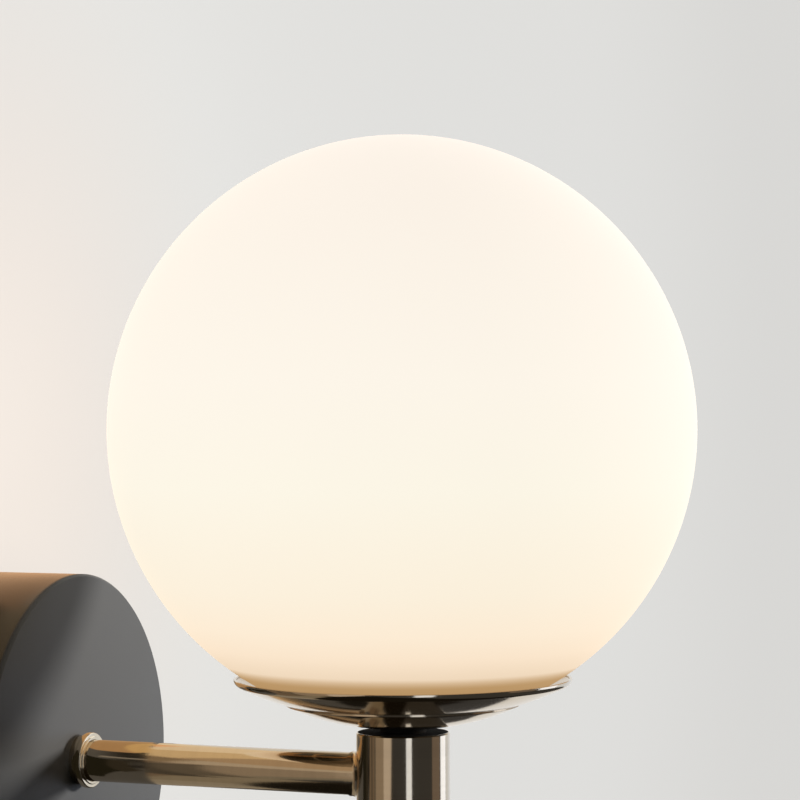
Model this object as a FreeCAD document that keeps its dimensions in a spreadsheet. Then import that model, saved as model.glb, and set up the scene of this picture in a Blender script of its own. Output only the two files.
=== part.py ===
import FreeCAD, Part
import math
import os
import re
import Sketcher

# Globe wall sconce. Origin: centre of the canopy's back, on the wall. +Z is up, the wall faces -Y,
# and the lamp reaches along -Y. The arm lies on the Y axis and carries the upright column of the lamp.

# Driving sizes in millimetres: name, value, what it measures
SIZES = (
    ("canopy_d", 132.0, "wall canopy, outer diameter"),
    ("canopy_depth", 38.0, "wall to canopy face"),
    ("canopy_wall", 1.2, "canopy sheet"),
    ("canopy_bevel", 0.9, "bevel round the canopy face"),
    ("bar_thick", 1.5, "crossbar sheet"),
    ("bar_width", 20.0, "crossbar width"),
    ("bar_bend", 1.0, "inside bend of the crossbar ears"),
    ("bar_gap", 0.3, "crossbar ear to canopy wall"),
    ("ear_depth", 14.0, "crossbar ears, from the wall"),
    ("slot_pitch", 88.9, "wide box holes, centre to centre"),
    ("slot_width", 4.4, "wide box holes, width"),
    ("slot_travel", 5.6, "wide box holes, room to shift the screw"),
    ("hole_pitch", 70.0, "narrow box holes, centre to centre"),
    ("hole_d", 4.4, "narrow box holes, diameter"),
    ("earth_x", 22.0, "earth screw, off the middle of the crossbar"),
    ("screw_d", 4.0, "canopy and earth screws, shank diameter"),
    ("screw_head_d", 7.2, "canopy and earth screws, head diameter"),
    ("screw_head", 2.4, "canopy and earth screws, head height"),
    ("screw_rim", 0.8, "canopy and earth screws, upright rim of the head"),
    ("screw_crown_d", 4.0, "canopy and earth screws, flat on top of the head"),
    ("screw_tail", 2.5, "canopy screws, length past the ear"),
    ("screw_back", 8.0, "canopy screws, from the wall"),
    ("screw_room", 0.2, "canopy hole round a screw"),
    ("reach", 124.5, "canopy face to the middle of the column"),
    ("arm_d", 14.7, "arm tube, outer diameter"),
    ("arm_wall", 1.2, "arm tube wall"),
    ("arm_clear", 0.6, "arm tube end, short of the column's hollow"),
    ("plug_length", 12.0, "threaded plug in the wall end of the arm"),
    ("flange_out", 2.45, "arm flange, lower ring past the tube"),
    ("flange_thick", 3.8, "arm flange, lower ring"),
    ("flange_edge", 1.0, "arm flange, round on the lower ring"),
    ("flange_step_out", 1.05, "arm flange, upper ring past the tube"),
    ("flange_step", 2.1, "arm flange, upper ring height"),
    ("flange_round", 0.5, "arm flange, round on the upper ring"),
    ("fit_gap", 0.05, "parts that screw, braze or slip together"),
    ("nipple_d", 10.0, "threaded nipples, outer diameter"),
    ("nipple_bore", 7.0, "threaded nipples, bore"),
    ("nipple_tail", 3.0, "arm nipple, past its nut"),
    ("washer_d", 20.0, "nipple washers, diameter"),
    ("washer_thick", 1.0, "nipple washers, thickness"),
    ("nut_flats", 14.0, "nipple nuts, across the flats"),
    ("nut_thick", 4.0, "nipple nuts, thickness"),
    ("eyelet_d", 15.0, "earth eyelet, diameter"),
    ("eyelet_thick", 0.8, "earth eyelet, sheet"),
    ("eyelet_neck", 4.0, "earth eyelet, length of its tongue"),
    ("barrel_d", 3.4, "earth eyelet, crimped barrel diameter"),
    ("barrel_length", 6.0, "earth eyelet, barrel length"),
    ("earth_lead_d", 1.8, "earth lead, diameter"),
    ("earth_bend", 8.0, "earth lead, bend radius"),
    ("earth_out", 12.0, "earth lead, loop past the earth screw"),
    ("lead_d", 2.2, "supply leads, diameter"),
    ("lead_pitch", 2.5, "supply leads, centre to centre"),
    ("lead_bend", 11.0, "supply leads, bend radius"),
    ("lead_back", 13.0, "supply leads, from the wall inside the canopy"),
    ("lead_rise", 22.0, "supply leads, up or down inside the canopy"),
    ("cone_d", 14.0, "wire connector, mouth diameter"),
    ("cone_tip_d", 8.0, "wire connector, tip diameter"),
    ("cone_length", 22.0, "wire connector, length"),
    ("cone_skirt", 4.4, "wire connector, straight part at its mouth"),
    ("cone_grip", 4.0, "supply lead, length inside its connector"),
    ("holder_d", 32.0, "column, outer diameter"),
    ("holder_rise", 15.1, "column top above the arm's axis"),
    ("holder_length", 32.0, "column length"),
    ("holder_edge", 0.4, "column edge chamfer"),
    ("holder_bore", 24.0, "column hollow, diameter"),
    ("holder_roof", 5.0, "column top, thickness"),
    ("boss_wall", 0.35, "rim of the column boss round the arm"),
    ("boss_out", 2.8, "column boss, past the column wall"),
    ("boss_fillet", 2.3, "saddle fillet of the column boss"),
    ("cap_thick", 4.0, "column bottom cap, thickness"),
    ("cap_inset", 0.6, "column bottom cap, recess"),
    ("cap_edge", 0.6, "column bottom cap, edge chamfer"),
    ("neck_d", 15.6, "neck spacer, diameter"),
    ("neck_gap", 2.3, "neck spacer, height"),
    ("pan_foot_d", 30.6, "lower dish, bottom diameter"),
    ("pan_short", 0.9, "lower dish, edge short of the saucer's corner"),
    ("pan_height", 7.7, "lower dish, height"),
    ("pan_round", 82.0, "lower dish, profile radius"),
    ("pan_wall", 1.2, "lower dish, wall"),
    ("pan_land", 1.2, "lower dish, width of the shadow line"),
    ("pan_shadow", 0.6, "lower dish, height of the shadow line"),
    ("saucer_d", 115.0, "saucer, rim diameter"),
    ("saucer_floor", 0.8, "saucer, floor thickness"),
    ("saucer_wall", 0.9, "saucer, wall"),
    ("floor_land", 0.2, "saucer, flat floor past the glass"),
    ("floor_corner", 0.5, "saucer, corner under the floor, inside the one on top"),
    ("saucer_round", 95.0, "saucer, profile radius of its bowl"),
    ("rim_gap", 2.6, "saucer rim below the glass"),
    ("rim_width", 1.6, "saucer, width of the turned-up rim"),
    ("rim_turn", 1.7, "saucer, height of the turn under the rim"),
    ("rim_round", 2.6, "saucer, radius of the turn under the rim"),
    ("rim_lip", 0.7, "saucer, upright lip above the turn"),
    ("rim_corner", 0.4, "saucer, corner inside the turn, off the one outside"),
    ("gasket_thick", 0.5, "globe gasket, thickness"),
    ("gasket_width", 2.2, "globe gasket, width"),
    ("seat_gap", 0.3, "glass above its gasket"),
    ("seat_d", 82.0, "globe opening, outer edge of the ground lip"),
    ("lip_width", 2.1, "globe opening, width of the ground lip"),
    ("globe_d", 200.0, "glass globe, outer diameter"),
    ("glass_wall", 3.0, "glass globe, wall"),
    ("cup_room", 4.5, "fitter cup, clear of the globe's opening"),
    ("cup_height", 16.0, "fitter cup, height"),
    ("cup_wall", 0.8, "fitter cup, sheet"),
    ("spring_thick", 0.5, "leaf springs, thickness"),
    ("spring_width", 10.0, "leaf springs, width"),
    ("spring_gap", 0.3, "leaf springs to the glass"),
    ("spring_top", 1.0, "leaf springs, below the cup's rim"),
    ("spring_bend", 0.8, "leaf springs, straight below the rivet head"),
    ("spring_touch", 2.2, "leaf springs, height of the widest point"),
    ("spring_toe", 1.4, "leaf springs, inward turn of the foot"),
    ("spring_foot", 0.6, "leaf springs, foot above the floor"),
    ("rivet_d", 2.4, "spring rivets, shank diameter"),
    ("rivet_head_d", 4.4, "spring rivets, head diameter"),
    ("rivet_head", 0.7, "spring rivets, head height"),
    ("rivet_drop", 4.0, "spring rivets, below the cup's rim"),
    ("socket_d", 39.0, "lamp socket, diameter"),
    ("socket_foot_d", 31.0, "lamp socket, bottom diameter"),
    ("socket_height", 44.0, "lamp socket, height"),
    ("socket_flare", 8.0, "lamp socket, height of its tapered foot"),
    ("socket_edge", 1.0, "lamp socket, rim chamfer"),
    ("socket_screw", 8.0, "lamp socket, length screwed on the nipple"),
    ("chamber_d", 14.0, "lamp socket, wire chamber diameter"),
    ("chamber_height", 3.0, "lamp socket, wire chamber height"),
    ("socket_web", 3.0, "lamp socket, floor under the contact"),
    ("shell_wall", 0.4, "socket screw shell, sheet"),
    ("shell_drop", 4.0, "socket screw shell, below the rim"),
    ("tongue_room", 0.6, "socket contact, clear of the shell round it"),
    ("tongue_width", 4.4, "socket contact, width"),
    ("tongue_thick", 0.4, "socket contact, sheet"),
    ("tongue_heel", 0.3, "socket contact, metal beside its rivet"),
    ("tongue_far", 7.2, "socket contact, fold"),
    ("tongue_fold", 1.5, "socket contact, height of the fold"),
    ("tongue_rise", 3.8, "socket contact, height of its tip"),
    ("tongue_tip", 2.5, "socket contact, tip past the middle"),
    ("stud_d", 2.2, "socket terminal rivets, shank"),
    ("stud_head_d", 3.4, "socket terminal rivets, head"),
    ("stud_head", 0.6, "socket terminal rivets, head height"),
    ("stud_out", 2.4, "socket terminal rivets, off the middle"),
    ("lead_gap", 1.5, "supply leads, end above the nipple"),
    ("bulb_gap", 0.3, "bulb above the socket contact"),
    ("bulb_cap_d", 26.0, "bulb screw cap, diameter"),
    ("bulb_room", 0.4, "socket screw shell round the bulb cap"),
    ("bulb_cap_height", 19.0, "bulb screw cap, height"),
    ("bulb_cap_wall", 0.4, "bulb screw cap, sheet"),
    ("button_d", 10.0, "bulb contact button, diameter"),
    ("button_height", 1.0, "bulb contact button, height"),
    ("cone_height", 4.5, "bulb insulator, height of its cone"),
    ("cone_top", 3.0, "bulb insulator, height inside the cap"),
    ("bulb_d", 60.0, "bulb, diameter"),
    ("bulb_length", 108.0, "bulb, overall length"),
    ("bulb_neck_out", 0.6, "bulb neck, past its cap"),
    ("bulb_neck", 5.0, "bulb neck, straight height above the cap"),
    ("bulb_tuck", 3.0, "bulb neck, length inside the cap"),
    ("bulb_wall", 1.0, "bulb glass"),
)
NAMES = {name for name, size, note in SIZES}

# Radii and heights that several parts share, as formulas over the sizes
NIPPLE_R = "(nipple_d / 2)"
BORED_R = "(nipple_d / 2 + fit_gap)"
ARM_R = "(arm_d / 2)"
CANOPY_IN = "(canopy_d / 2 - canopy_wall)"
FACE_Y = "(-canopy_depth)"
FACE_IN_Y = "(-canopy_depth + canopy_wall)"
WASHER_Y = f"({FACE_IN_Y} + washer_thick)"
EYELET_Y = f"({WASHER_Y} + eyelet_thick)"
NUT_Y = f"({EYELET_Y} + nut_thick)"
COLUMN_Y = "(-canopy_depth - reach)"
EAR_X = f"(sqrt({CANOPY_IN} ^ 2 - (bar_width / 2) ^ 2) - bar_gap)"
ROOF_Z = "(holder_rise - holder_roof)"
BASE_Z = "(holder_rise - holder_length)"
FOOT_Z = "(holder_rise + neck_gap)"
STEP_Z = f"({FOOT_Z} + pan_height)"
FLOOR_Z = f"({STEP_Z} + saucer_floor)"
LIP_Z = f"({FLOOR_Z} + gasket_thick + seat_gap)"
GLOBE_Z = f"({LIP_Z} + sqrt((globe_d / 2) ^ 2 - (seat_d / 2) ^ 2))"
RIM_Z = f"({GLOBE_Z} - sqrt((globe_d / 2) ^ 2 - (saucer_d / 2) ^ 2) - rim_gap)"
LAND_R = "(seat_d / 2 + floor_land)"
STEP_R = f"({LAND_R} - floor_corner)"
MOUTH_R = "(seat_d / 2 - lip_width)"
CUP_R = f"({MOUTH_R} - cup_room)"
STACK_Z = f"({FLOOR_Z} + cup_wall)"
SOCKET_Z = f"({STACK_Z} + washer_thick + nut_thick)"
CHAMBER_Z = f"({SOCKET_Z} + socket_screw)"
WEB_Z = f"({CHAMBER_Z} + chamber_height)"
WELL_Z = f"({WEB_Z} + socket_web)"
SOCKET_TOP = f"({SOCKET_Z} + socket_height)"
SHELL_R = "(bulb_cap_d / 2 + bulb_room)"
WELL_R = f"({SHELL_R} + shell_wall + fit_gap)"
TIP_Z = f"({WELL_Z} + tongue_rise + bulb_gap)"
CAP_Z = f"({TIP_Z} + button_height + cone_height)"
NECK_Z = f"({CAP_Z} + bulb_cap_height)"

PLANES = {"XY": "XY_Plane", "XZ": "XZ_Plane", "YZ": "YZ_Plane"}
AXES = {"X": "X_Axis", "Y": "Y_Axis", "Z": "Z_Axis"}

doc = FreeCAD.newDocument("globe_sconce")
parts = []


def make_sheet():
    """Write the driving sizes into a spreadsheet, one alias each."""
    sheet = doc.addObject("Spreadsheet::Sheet", "Sizes")
    for row, (name, size, note) in enumerate(SIZES, start=1):
        sheet.set(f"A{row}", note)
        sheet.set(f"B{row}", str(size))
        sheet.setAlias(f"B{row}", name)
    doc.recompute()
    return sheet


def bound(text):
    """Turn the size names in a formula into references to the sheet."""
    return re.sub(r"[a-z_]\w*", lambda word: prefixed(word.group()), text)


def prefixed(word):
    """One word of a formula, with the sheet's name before a size."""
    return "Sizes." + word if word in NAMES else word


sheet = make_sheet()


def number(text):
    """The value of a formula."""
    value = sheet.evalExpression(bound(text))
    return float(getattr(value, "Value", value))


def tie(thing, prop, text):
    """Bind a property to a formula."""
    thing.setExpression(prop, bound(text))


# Sketches

def origin_of(body, role):
    """A plane or an axis of a body's own origin."""
    for feature in body.Origin.OriginFeatures:
        if feature.Role == role:
            return feature
    raise ValueError(role)


def new_body(label, x="0", y="0", z="0"):
    """A body that becomes one sub-part, placed by formulas."""
    body = doc.addObject("PartDesign::Body", label)
    body.Label = label
    body.AllowCompound = True
    for key, text in (("x", x), ("y", y), ("z", z)):
        if text != "0":
            tie(body, f"Placement.Base.{key}", text)
    parts.append(body)
    return body


def new_sketch(body, plane, lift="0"):
    """A sketch on a plane of the body's origin, lifted along the plane's normal."""
    sketch = body.newObject("Sketcher::SketchObject", body.Name + "_sketch")
    sketch.AttachmentSupport = (origin_of(body, PLANES[plane]), [""])
    sketch.MapMode = "FlatFace"
    if lift != "0":
        tie(sketch, "AttachmentOffset.Base.z", lift)
    return sketch


def pin(sketch, edge, end, x, y):
    """Hold one end of an edge at formulas for its two coordinates."""
    for kind, axis, text in (("DistanceX", -2, x), ("DistanceY", -1, y)):
        if text == "0":
            sketch.addConstraint(Sketcher.Constraint("PointOnObject", edge, end, axis))
        else:
            rule = sketch.addConstraint(Sketcher.Constraint(kind, -1, 1, edge, end, number(text)))
            sketch.setExpression(f"Constraints[{rule}]", bound(text))


def arc_between(start, end, radius):
    """The short arc from start to end. It turns left for a positive radius, right for a negative one."""
    chord = end - start
    half = chord.Length / 2
    side = FreeCAD.Vector(-chord.y, chord.x, 0).normalize()
    rise = math.sqrt(max(radius * radius - half * half, 0))
    centre = (start + end) * 0.5 + side * math.copysign(rise, radius)
    first, last = (start, end) if radius > 0 else (end, start)
    circle = Part.Circle(centre, FreeCAD.Vector(0, 0, 1), abs(radius))
    return Part.ArcOfCircle(circle, circle.parameter(first), circle.parameter(last))


def draw(sketch, outline, closed=True):
    """Draw an outline of formulas (x, y), or (x, y, radius) where an arc arrives at the point."""
    points = [FreeCAD.Vector(number(entry[0]), number(entry[1]), 0) for entry in outline]
    edges = []
    for index in range(0 if closed else 1, len(outline)):
        entry = outline[index]
        start, end = points[index - 1], points[index]
        if len(entry) == 2:
            edges.append((sketch.addGeometry(Part.LineSegment(start, end), False), 1, 2, entry))
        else:
            radius = number(entry[2])
            edge = sketch.addGeometry(arc_between(start, end, radius), False)
            ends = (1, 2) if radius > 0 else (2, 1)
            edges.append((edge, ends[0], ends[1], entry))
    if not closed:
        pin(sketch, edges[0][0], edges[0][1], outline[0][0], outline[0][1])
    for place, (edge, first, last, entry) in enumerate(edges):
        before = edges[place - 1]
        if closed or place > 0:
            sketch.addConstraint(Sketcher.Constraint("Coincident", before[0], before[2], edge, first))
        pin(sketch, edge, last, entry[0], entry[1])
        if len(entry) == 3:
            size = entry[2].lstrip("-")
            rule = sketch.addConstraint(Sketcher.Constraint("Radius", edge, abs(number(size))))
            sketch.setExpression(f"Constraints[{rule}]", bound(size))


def draw_circle(sketch, x, y, radius):
    """Draw a full circle from formulas."""
    centre = FreeCAD.Vector(number(x), number(y), 0)
    circle = Part.Circle(centre, FreeCAD.Vector(0, 0, 1), number(radius))
    edge = sketch.addGeometry(circle, False)
    pin(sketch, edge, 3, x, y)
    rule = sketch.addConstraint(Sketcher.Constraint("Radius", edge, number(radius)))
    sketch.setExpression(f"Constraints[{rule}]", bound(radius))


def box_outline(x0, x1, y0, y1):
    """A rectangle as an outline."""
    return [(x0, y0), (x1, y0), (x1, y1), (x0, y1)]


# Features

def turn(body, outline, axis="Z", cut=False):
    """Revolve an outline of (radius, height) about the body's Z or Y axis, as metal or as a cut."""
    sketch = new_sketch(body, "XZ" if axis == "Z" else "XY")
    draw(sketch, outline)
    kind = "PartDesign::Groove" if cut else "PartDesign::Revolution"
    feature = body.newObject(kind, body.Name + "_turned")
    feature.Profile = sketch
    feature.ReferenceAxis = (sketch, ["V_Axis"])
    feature.Angle = 360
    doc.recompute()
    return feature


def turned(label, outline, axis="Z", x="0", y=COLUMN_Y):
    """A sub-part that is one revolved outline: on the column, or about the Y axis on the arm."""
    body = new_body(label, x, y if axis == "Z" else "0")
    turn(body, outline, axis)
    return body


def ring(label, inner, outer, low, high, axis="Z"):
    """A plain ring or tube."""
    return turned(label, box_outline(inner, outer, low, high), axis)


def pad(body, plane, outline, length, lift="0", middle=True, back=False):
    """Pad an outline, or a list of them, to both sides of its sketch or to one."""
    sketch = new_sketch(body, plane, lift)
    draw(sketch, outline)
    feature = body.newObject("PartDesign::Pad", body.Name + "_pad")
    feature.Profile = sketch
    feature.Midplane = middle
    feature.Reversed = back
    tie(feature, "Length", length)
    doc.recompute()
    return feature


def bore(body, plane, circles, length, back=False, middle=True):
    """Cut round holes (x, y, radius) through a body, and make sure that they cut."""
    sketch = new_sketch(body, plane)
    for x, y, radius in circles:
        draw_circle(sketch, x, y, radius)
    return pocket(body, sketch, length, back, middle)


def pocket(body, sketch, length, back=False, middle=True):
    """Cut a sketch's shape out of a body, and make sure that it cuts."""
    before = body.Shape.Volume
    feature = body.newObject("PartDesign::Pocket", body.Name + "_pocket")
    feature.Profile = sketch
    feature.Midplane = middle
    feature.Reversed = back
    tie(feature, "Length", length)
    doc.recompute()
    if body.Shape.Volume >= before:
        raise ValueError(f"{body.Label}: a pocket cut nothing")
    return feature


def edges_where(shape, test):
    """Names of the edges whose points all pass a test."""
    found = []
    for index, edge in enumerate(shape.Edges, start=1):
        samples = edge.discretize(5)
        if all(test(point) for point in samples):
            found.append(f"Edge{index}")
    return found


def near(value, text):
    """Whether a measured value is the one that a formula gives."""
    return abs(value - number(text)) < 1e-3


def soften(body, kind, size, test):
    """Fillet or chamfer the edges of the body's tip that pass a test."""
    tip = body.Tip
    names = edges_where(tip.Shape, test)
    if not names:
        raise ValueError(f"{body.Label}: no edge to soften")
    feature = body.newObject(f"PartDesign::{kind}", f"{body.Name}_{kind.lower()}")
    feature.Base = (tip, names)
    tie(feature, "Radius" if kind == "Fillet" else "Size", size)
    doc.recompute()
    return feature


def repeat(body, features, count):
    """Repeat features round the body's Z axis."""
    pattern = body.newObject("PartDesign::PolarPattern", body.Name + "_pattern")
    pattern.Originals = features
    pattern.Axis = (origin_of(body, AXES["Z"]), [""])
    pattern.Angle = 360
    pattern.Occurrences = count
    body.Tip = pattern
    doc.recompute()
    return pattern


def mirror(body, features):
    """Repeat features on the other side of the body's YZ plane."""
    twin = body.newObject("PartDesign::Mirrored", body.Name + "_mirror")
    twin.Originals = features
    twin.MirrorPlane = (origin_of(body, PLANES["YZ"]), [""])
    body.Tip = twin
    doc.recompute()
    return twin


def pipe(label, route, plane, start, radius, x="0"):
    """A lead: a round section swept along a route of straight runs and tangent arcs."""
    body = new_body(label, x)
    path = new_sketch(body, plane)
    draw(path, route, closed=False)
    face, lift, across, along = start
    section = new_sketch(body, face, lift)
    draw_circle(section, across, along, radius)
    sweep = body.newObject("PartDesign::AdditivePipe", body.Name + "_pipe")
    sweep.Profile = section
    sweep.Spine = (path, [])
    doc.recompute()
    whole = path.Shape.Length * math.pi * number(radius) ** 2
    if abs(sweep.Shape.Volume - whole) > 0.01 * whole:
        raise ValueError(f"{label}: the sweep lost volume")
    return body


# Wall fixing and canopy

def make_crossbar():
    """Steel strap on the wall box, with two ears bent out for the canopy screws."""
    body = new_body("crossbar")
    inside = f"({EAR_X} - bar_thick)"
    corner = f"({EAR_X} - bar_thick - bar_bend)"
    deep = "(bar_thick + bar_bend)"
    outline = [
        (f"-{EAR_X}", "-ear_depth"),
        (f"-{inside}", "-ear_depth"),
        (f"-{inside}", f"-{deep}"),
        (f"-{corner}", "-bar_thick", "-bar_bend"),
        (corner, "-bar_thick"),
        (inside, f"-{deep}", "-bar_bend"),
        (inside, "-ear_depth"),
        (EAR_X, "-ear_depth"),
        (EAR_X, f"-{deep}"),
        (corner, "0", deep),
        (f"-{corner}", "0"),
        (f"-{EAR_X}", f"-{deep}", deep),
    ]
    pad(body, "XY", outline, "bar_width")
    end = "(slot_width / 2)"
    slots = new_sketch(body, "XZ")
    ends = []
    for side in ("", "-"):
        near_x = f"({side}1 * (slot_pitch - slot_travel) / 2)"
        far_x = f"({side}1 * (slot_pitch + slot_travel) / 2)"
        draw(slots, box_outline(near_x, far_x, f"-{end}", end))
        ends += [(near_x, "0", end), (far_x, "0", end)]
    pocket(body, slots, "3 * bar_thick")
    bore(body, "XZ", ends, "3 * bar_thick")
    holes = [("hole_pitch / 2", "0", "hole_d / 2"), ("-hole_pitch / 2", "0", "hole_d / 2")]
    holes.append(("earth_x", "0", "screw_d / 2 + fit_gap"))
    bore(body, "XZ", holes, "3 * bar_thick")
    bore(body, "YZ", [("-screw_back", "0", "screw_d / 2 + fit_gap")], "canopy_d")


def make_canopy():
    """Deep round canopy, open to the wall, with a bevelled face and a hole for the arm."""
    outline = [
        (BORED_R, FACE_Y),
        ("canopy_d / 2 - canopy_bevel", FACE_Y),
        ("canopy_d / 2", f"{FACE_Y} + canopy_bevel"),
        ("canopy_d / 2", "0"),
        (CANOPY_IN, "0"),
        (CANOPY_IN, FACE_IN_Y),
        (BORED_R, FACE_IN_Y),
    ]
    body = turned("canopy", outline, "Y")
    bore(body, "YZ", [("-screw_back", "0", "screw_d / 2 + screw_room")], "2 * canopy_d")


def screw_outline(tail, seat):
    """Half of a screw from its tail past the seat of its head, as (radius, height) points."""
    crown = f"({seat} + screw_head)"
    return [
        ("0", tail),
        ("screw_d / 2", tail),
        ("screw_d / 2", seat),
        ("screw_head_d / 2", seat),
        ("screw_head_d / 2", f"{seat} + screw_rim"),
        ("screw_crown_d / 2", crown),
        ("0", crown),
    ]


def make_canopy_screws():
    """Two screws at the canopy's sides that hold it to the crossbar ears."""
    body = new_body("canopy_screws", "0", "-screw_back")
    sketch = new_sketch(body, "XY")
    profile = screw_outline(f"({EAR_X} - bar_thick - screw_tail)", "(canopy_d / 2)")
    draw(sketch, [(along, across) for across, along in profile])
    turned_screw = body.newObject("PartDesign::Revolution", "canopy_screws_turned")
    turned_screw.Profile = sketch
    turned_screw.ReferenceAxis = (sketch, ["H_Axis"])
    turned_screw.Angle = 360
    doc.recompute()
    mirror(body, [turned_screw])


def make_earth():
    """Earth screw on the crossbar, eyelet under the arm nut, and the lead between them."""
    screw = new_body("earth_screw", "earth_x")
    profile = screw_outline("0", "(bar_thick + earth_lead_d)")
    turn(screw, [(across, f"-({along})") for across, along in profile], "Y")

    eyelet = new_body("earth_eyelet")
    turn(eyelet, box_outline(BORED_R, "(eyelet_d / 2)", WASHER_Y, EYELET_Y), "Y")
    tongue = box_outline("(eyelet_d / 2 - eyelet_thick)", "(eyelet_d / 2 + eyelet_neck)",
                         WASHER_Y, EYELET_Y)
    pad(eyelet, "XY", tongue, "barrel_d")
    barrel = new_sketch(eyelet, "YZ", "eyelet_d / 2 + eyelet_neck - eyelet_thick")
    draw_circle(barrel, f"{WASHER_Y} + barrel_d / 2", "0", "barrel_d / 2")
    crimp = eyelet.newObject("PartDesign::Pad", "earth_eyelet_barrel")
    crimp.Profile = barrel
    tie(crimp, "Length", "barrel_length")
    doc.recompute()
    wire_hole = new_sketch(eyelet, "YZ", "eyelet_d / 2 + eyelet_neck + barrel_length - eyelet_thick")
    draw_circle(wire_hole, f"{WASHER_Y} + barrel_d / 2", "0", "earth_lead_d / 2 + fit_gap")
    pocket(eyelet, wire_hole, "barrel_length - eyelet_thick", middle=False)

    start_x = "(eyelet_d / 2 + eyelet_neck)"
    far_x = "(earth_x + earth_out)"
    run_y = f"({WASHER_Y} + barrel_d / 2)"
    rest_y = "(-bar_thick - earth_lead_d / 2)"
    route = [
        (start_x, run_y),
        (f"{far_x} - earth_bend", run_y),
        (far_x, f"{run_y} + earth_bend", "earth_bend"),
        (far_x, f"{rest_y} - earth_bend"),
        (f"{far_x} - earth_bend", rest_y, "earth_bend"),
        ("earth_x + screw_d / 2 + screw_room", rest_y),
    ]
    pipe("earth_lead", route, "XY", ("YZ", start_x, run_y, "0"), "earth_lead_d / 2")


# Arm

def hex_nut(label, x, y, z, upright):
    """A hexagon nut with a plain hole for its nipple."""
    blank = doc.addObject("Part::Prism", label + "_blank")
    blank.Polygon = 6
    tie(blank, "Circumradius", "nut_flats / sqrt(3)")
    tie(blank, "Height", "nut_thick")
    hole = doc.addObject("Part::Cylinder", label + "_hole")
    tie(hole, "Radius", BORED_R)
    tie(hole, "Height", "nut_thick")
    nut = doc.addObject("Part::Cut", label)
    nut.Base = blank
    nut.Tool = hole
    nut.Label = label
    if not upright:
        nut.Placement.Rotation = FreeCAD.Rotation(FreeCAD.Vector(1, 0, 0), 90)
    for key, text in (("x", x), ("y", y), ("z", z)):
        if text != "0":
            tie(nut, f"Placement.Base.{key}", text)
    parts.append(nut)
    doc.recompute()


def make_arm():
    """Arm tube with its flange, and what clamps it to the canopy face."""
    ring_r = f"({ARM_R} + flange_out)"
    step_r = f"({ARM_R} + flange_step_out)"
    flange = [
        (f"{ARM_R} + fit_gap", FACE_Y),
        (f"{ARM_R} + fit_gap", f"{FACE_Y} - flange_thick - flange_step"),
        (f"{step_r} - flange_round", f"{FACE_Y} - flange_thick - flange_step"),
        (step_r, f"{FACE_Y} - flange_thick - flange_step + flange_round", "flange_round"),
        (step_r, f"{FACE_Y} - flange_thick"),
        (f"{ring_r} - flange_edge", f"{FACE_Y} - flange_thick"),
        (ring_r, f"{FACE_Y} - flange_thick + flange_edge", "flange_edge"),
        (ring_r, FACE_Y),
    ]
    turned("arm_flange", flange, "Y")
    inner = f"({ARM_R} - arm_wall)"
    end_y = f"({COLUMN_Y} + holder_bore / 2 + arm_clear)"
    ring("arm_tube", inner, ARM_R, end_y, FACE_Y, "Y")
    plug_y = f"({FACE_Y} - plug_length)"
    ring("arm_plug", BORED_R, f"({inner} - fit_gap)", plug_y, FACE_Y, "Y")
    ring("arm_nipple", "nipple_bore / 2", NIPPLE_R, plug_y, f"({NUT_Y} + nipple_tail)", "Y")
    ring("arm_washer", BORED_R, "washer_d / 2", FACE_IN_Y, WASHER_Y, "Y")
    hex_nut("arm_nut", "0", NUT_Y, "0", upright=False)


def make_leads():
    """Two supply leads, from their connectors in the canopy through the arm up to the socket."""
    top = f"({CHAMBER_Z} + lead_gap)"
    for label, side, way in (("lead_line", "", ""), ("lead_neutral", "-", "-")):
        bend_z = f"({way}1 * lead_bend)"
        route = [
            ("-lead_back", f"({way}1 * lead_rise)"),
            ("-lead_back", bend_z),
            ("-lead_back - lead_bend", "0", "-lead_bend" if way == "" else "lead_bend"),
            (f"{COLUMN_Y} + lead_bend", "0"),
            (COLUMN_Y, "lead_bend", "-lead_bend"),
            (COLUMN_Y, top),
        ]
        start = ("XY", f"{way}1 * lead_rise", "0", "-lead_back")
        pipe(label, route, "YZ", start, "lead_d / 2", f"{side}1 * lead_pitch / 2")


def make_connectors():
    """A screw-on wire connector on the canopy end of each supply lead."""
    body = new_body("wire_connectors", "0", "-lead_back")
    mouth = "(lead_rise - cone_grip)"
    grip = "(lead_d / 2 + fit_gap)"
    for side in ("", "-"):
        sketch = new_sketch(body, "XZ")
        middle = f"({side}1 * lead_pitch / 2)"
        place = [
            ("0", "lead_rise + fit_gap"),
            (grip, "lead_rise + fit_gap"),
            (grip, mouth),
            ("cone_d / 2", mouth),
            ("cone_d / 2", f"{mouth} + cone_skirt"),
            ("cone_tip_d / 2", f"{mouth} + cone_length"),
            ("0", f"{mouth} + cone_length"),
        ]
        draw(sketch, [(f"{middle} + {across}", f"{side}1 * ({along})") for across, along in place])
        axis = sketch.addGeometry(Part.LineSegment(FreeCAD.Vector(number(middle), 0, 0),
                                                   FreeCAD.Vector(number(middle), 1, 0)), True)
        pin(sketch, axis, 1, middle, "0")
        sketch.addConstraint(Sketcher.Constraint("Vertical", axis))
        cone = body.newObject("PartDesign::Revolution", "wire_connectors_turned")
        cone.Profile = sketch
        cone.ReferenceAxis = (sketch, ["Axis0"])
        cone.Angle = 360
        doc.recompute()


# Column

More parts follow.
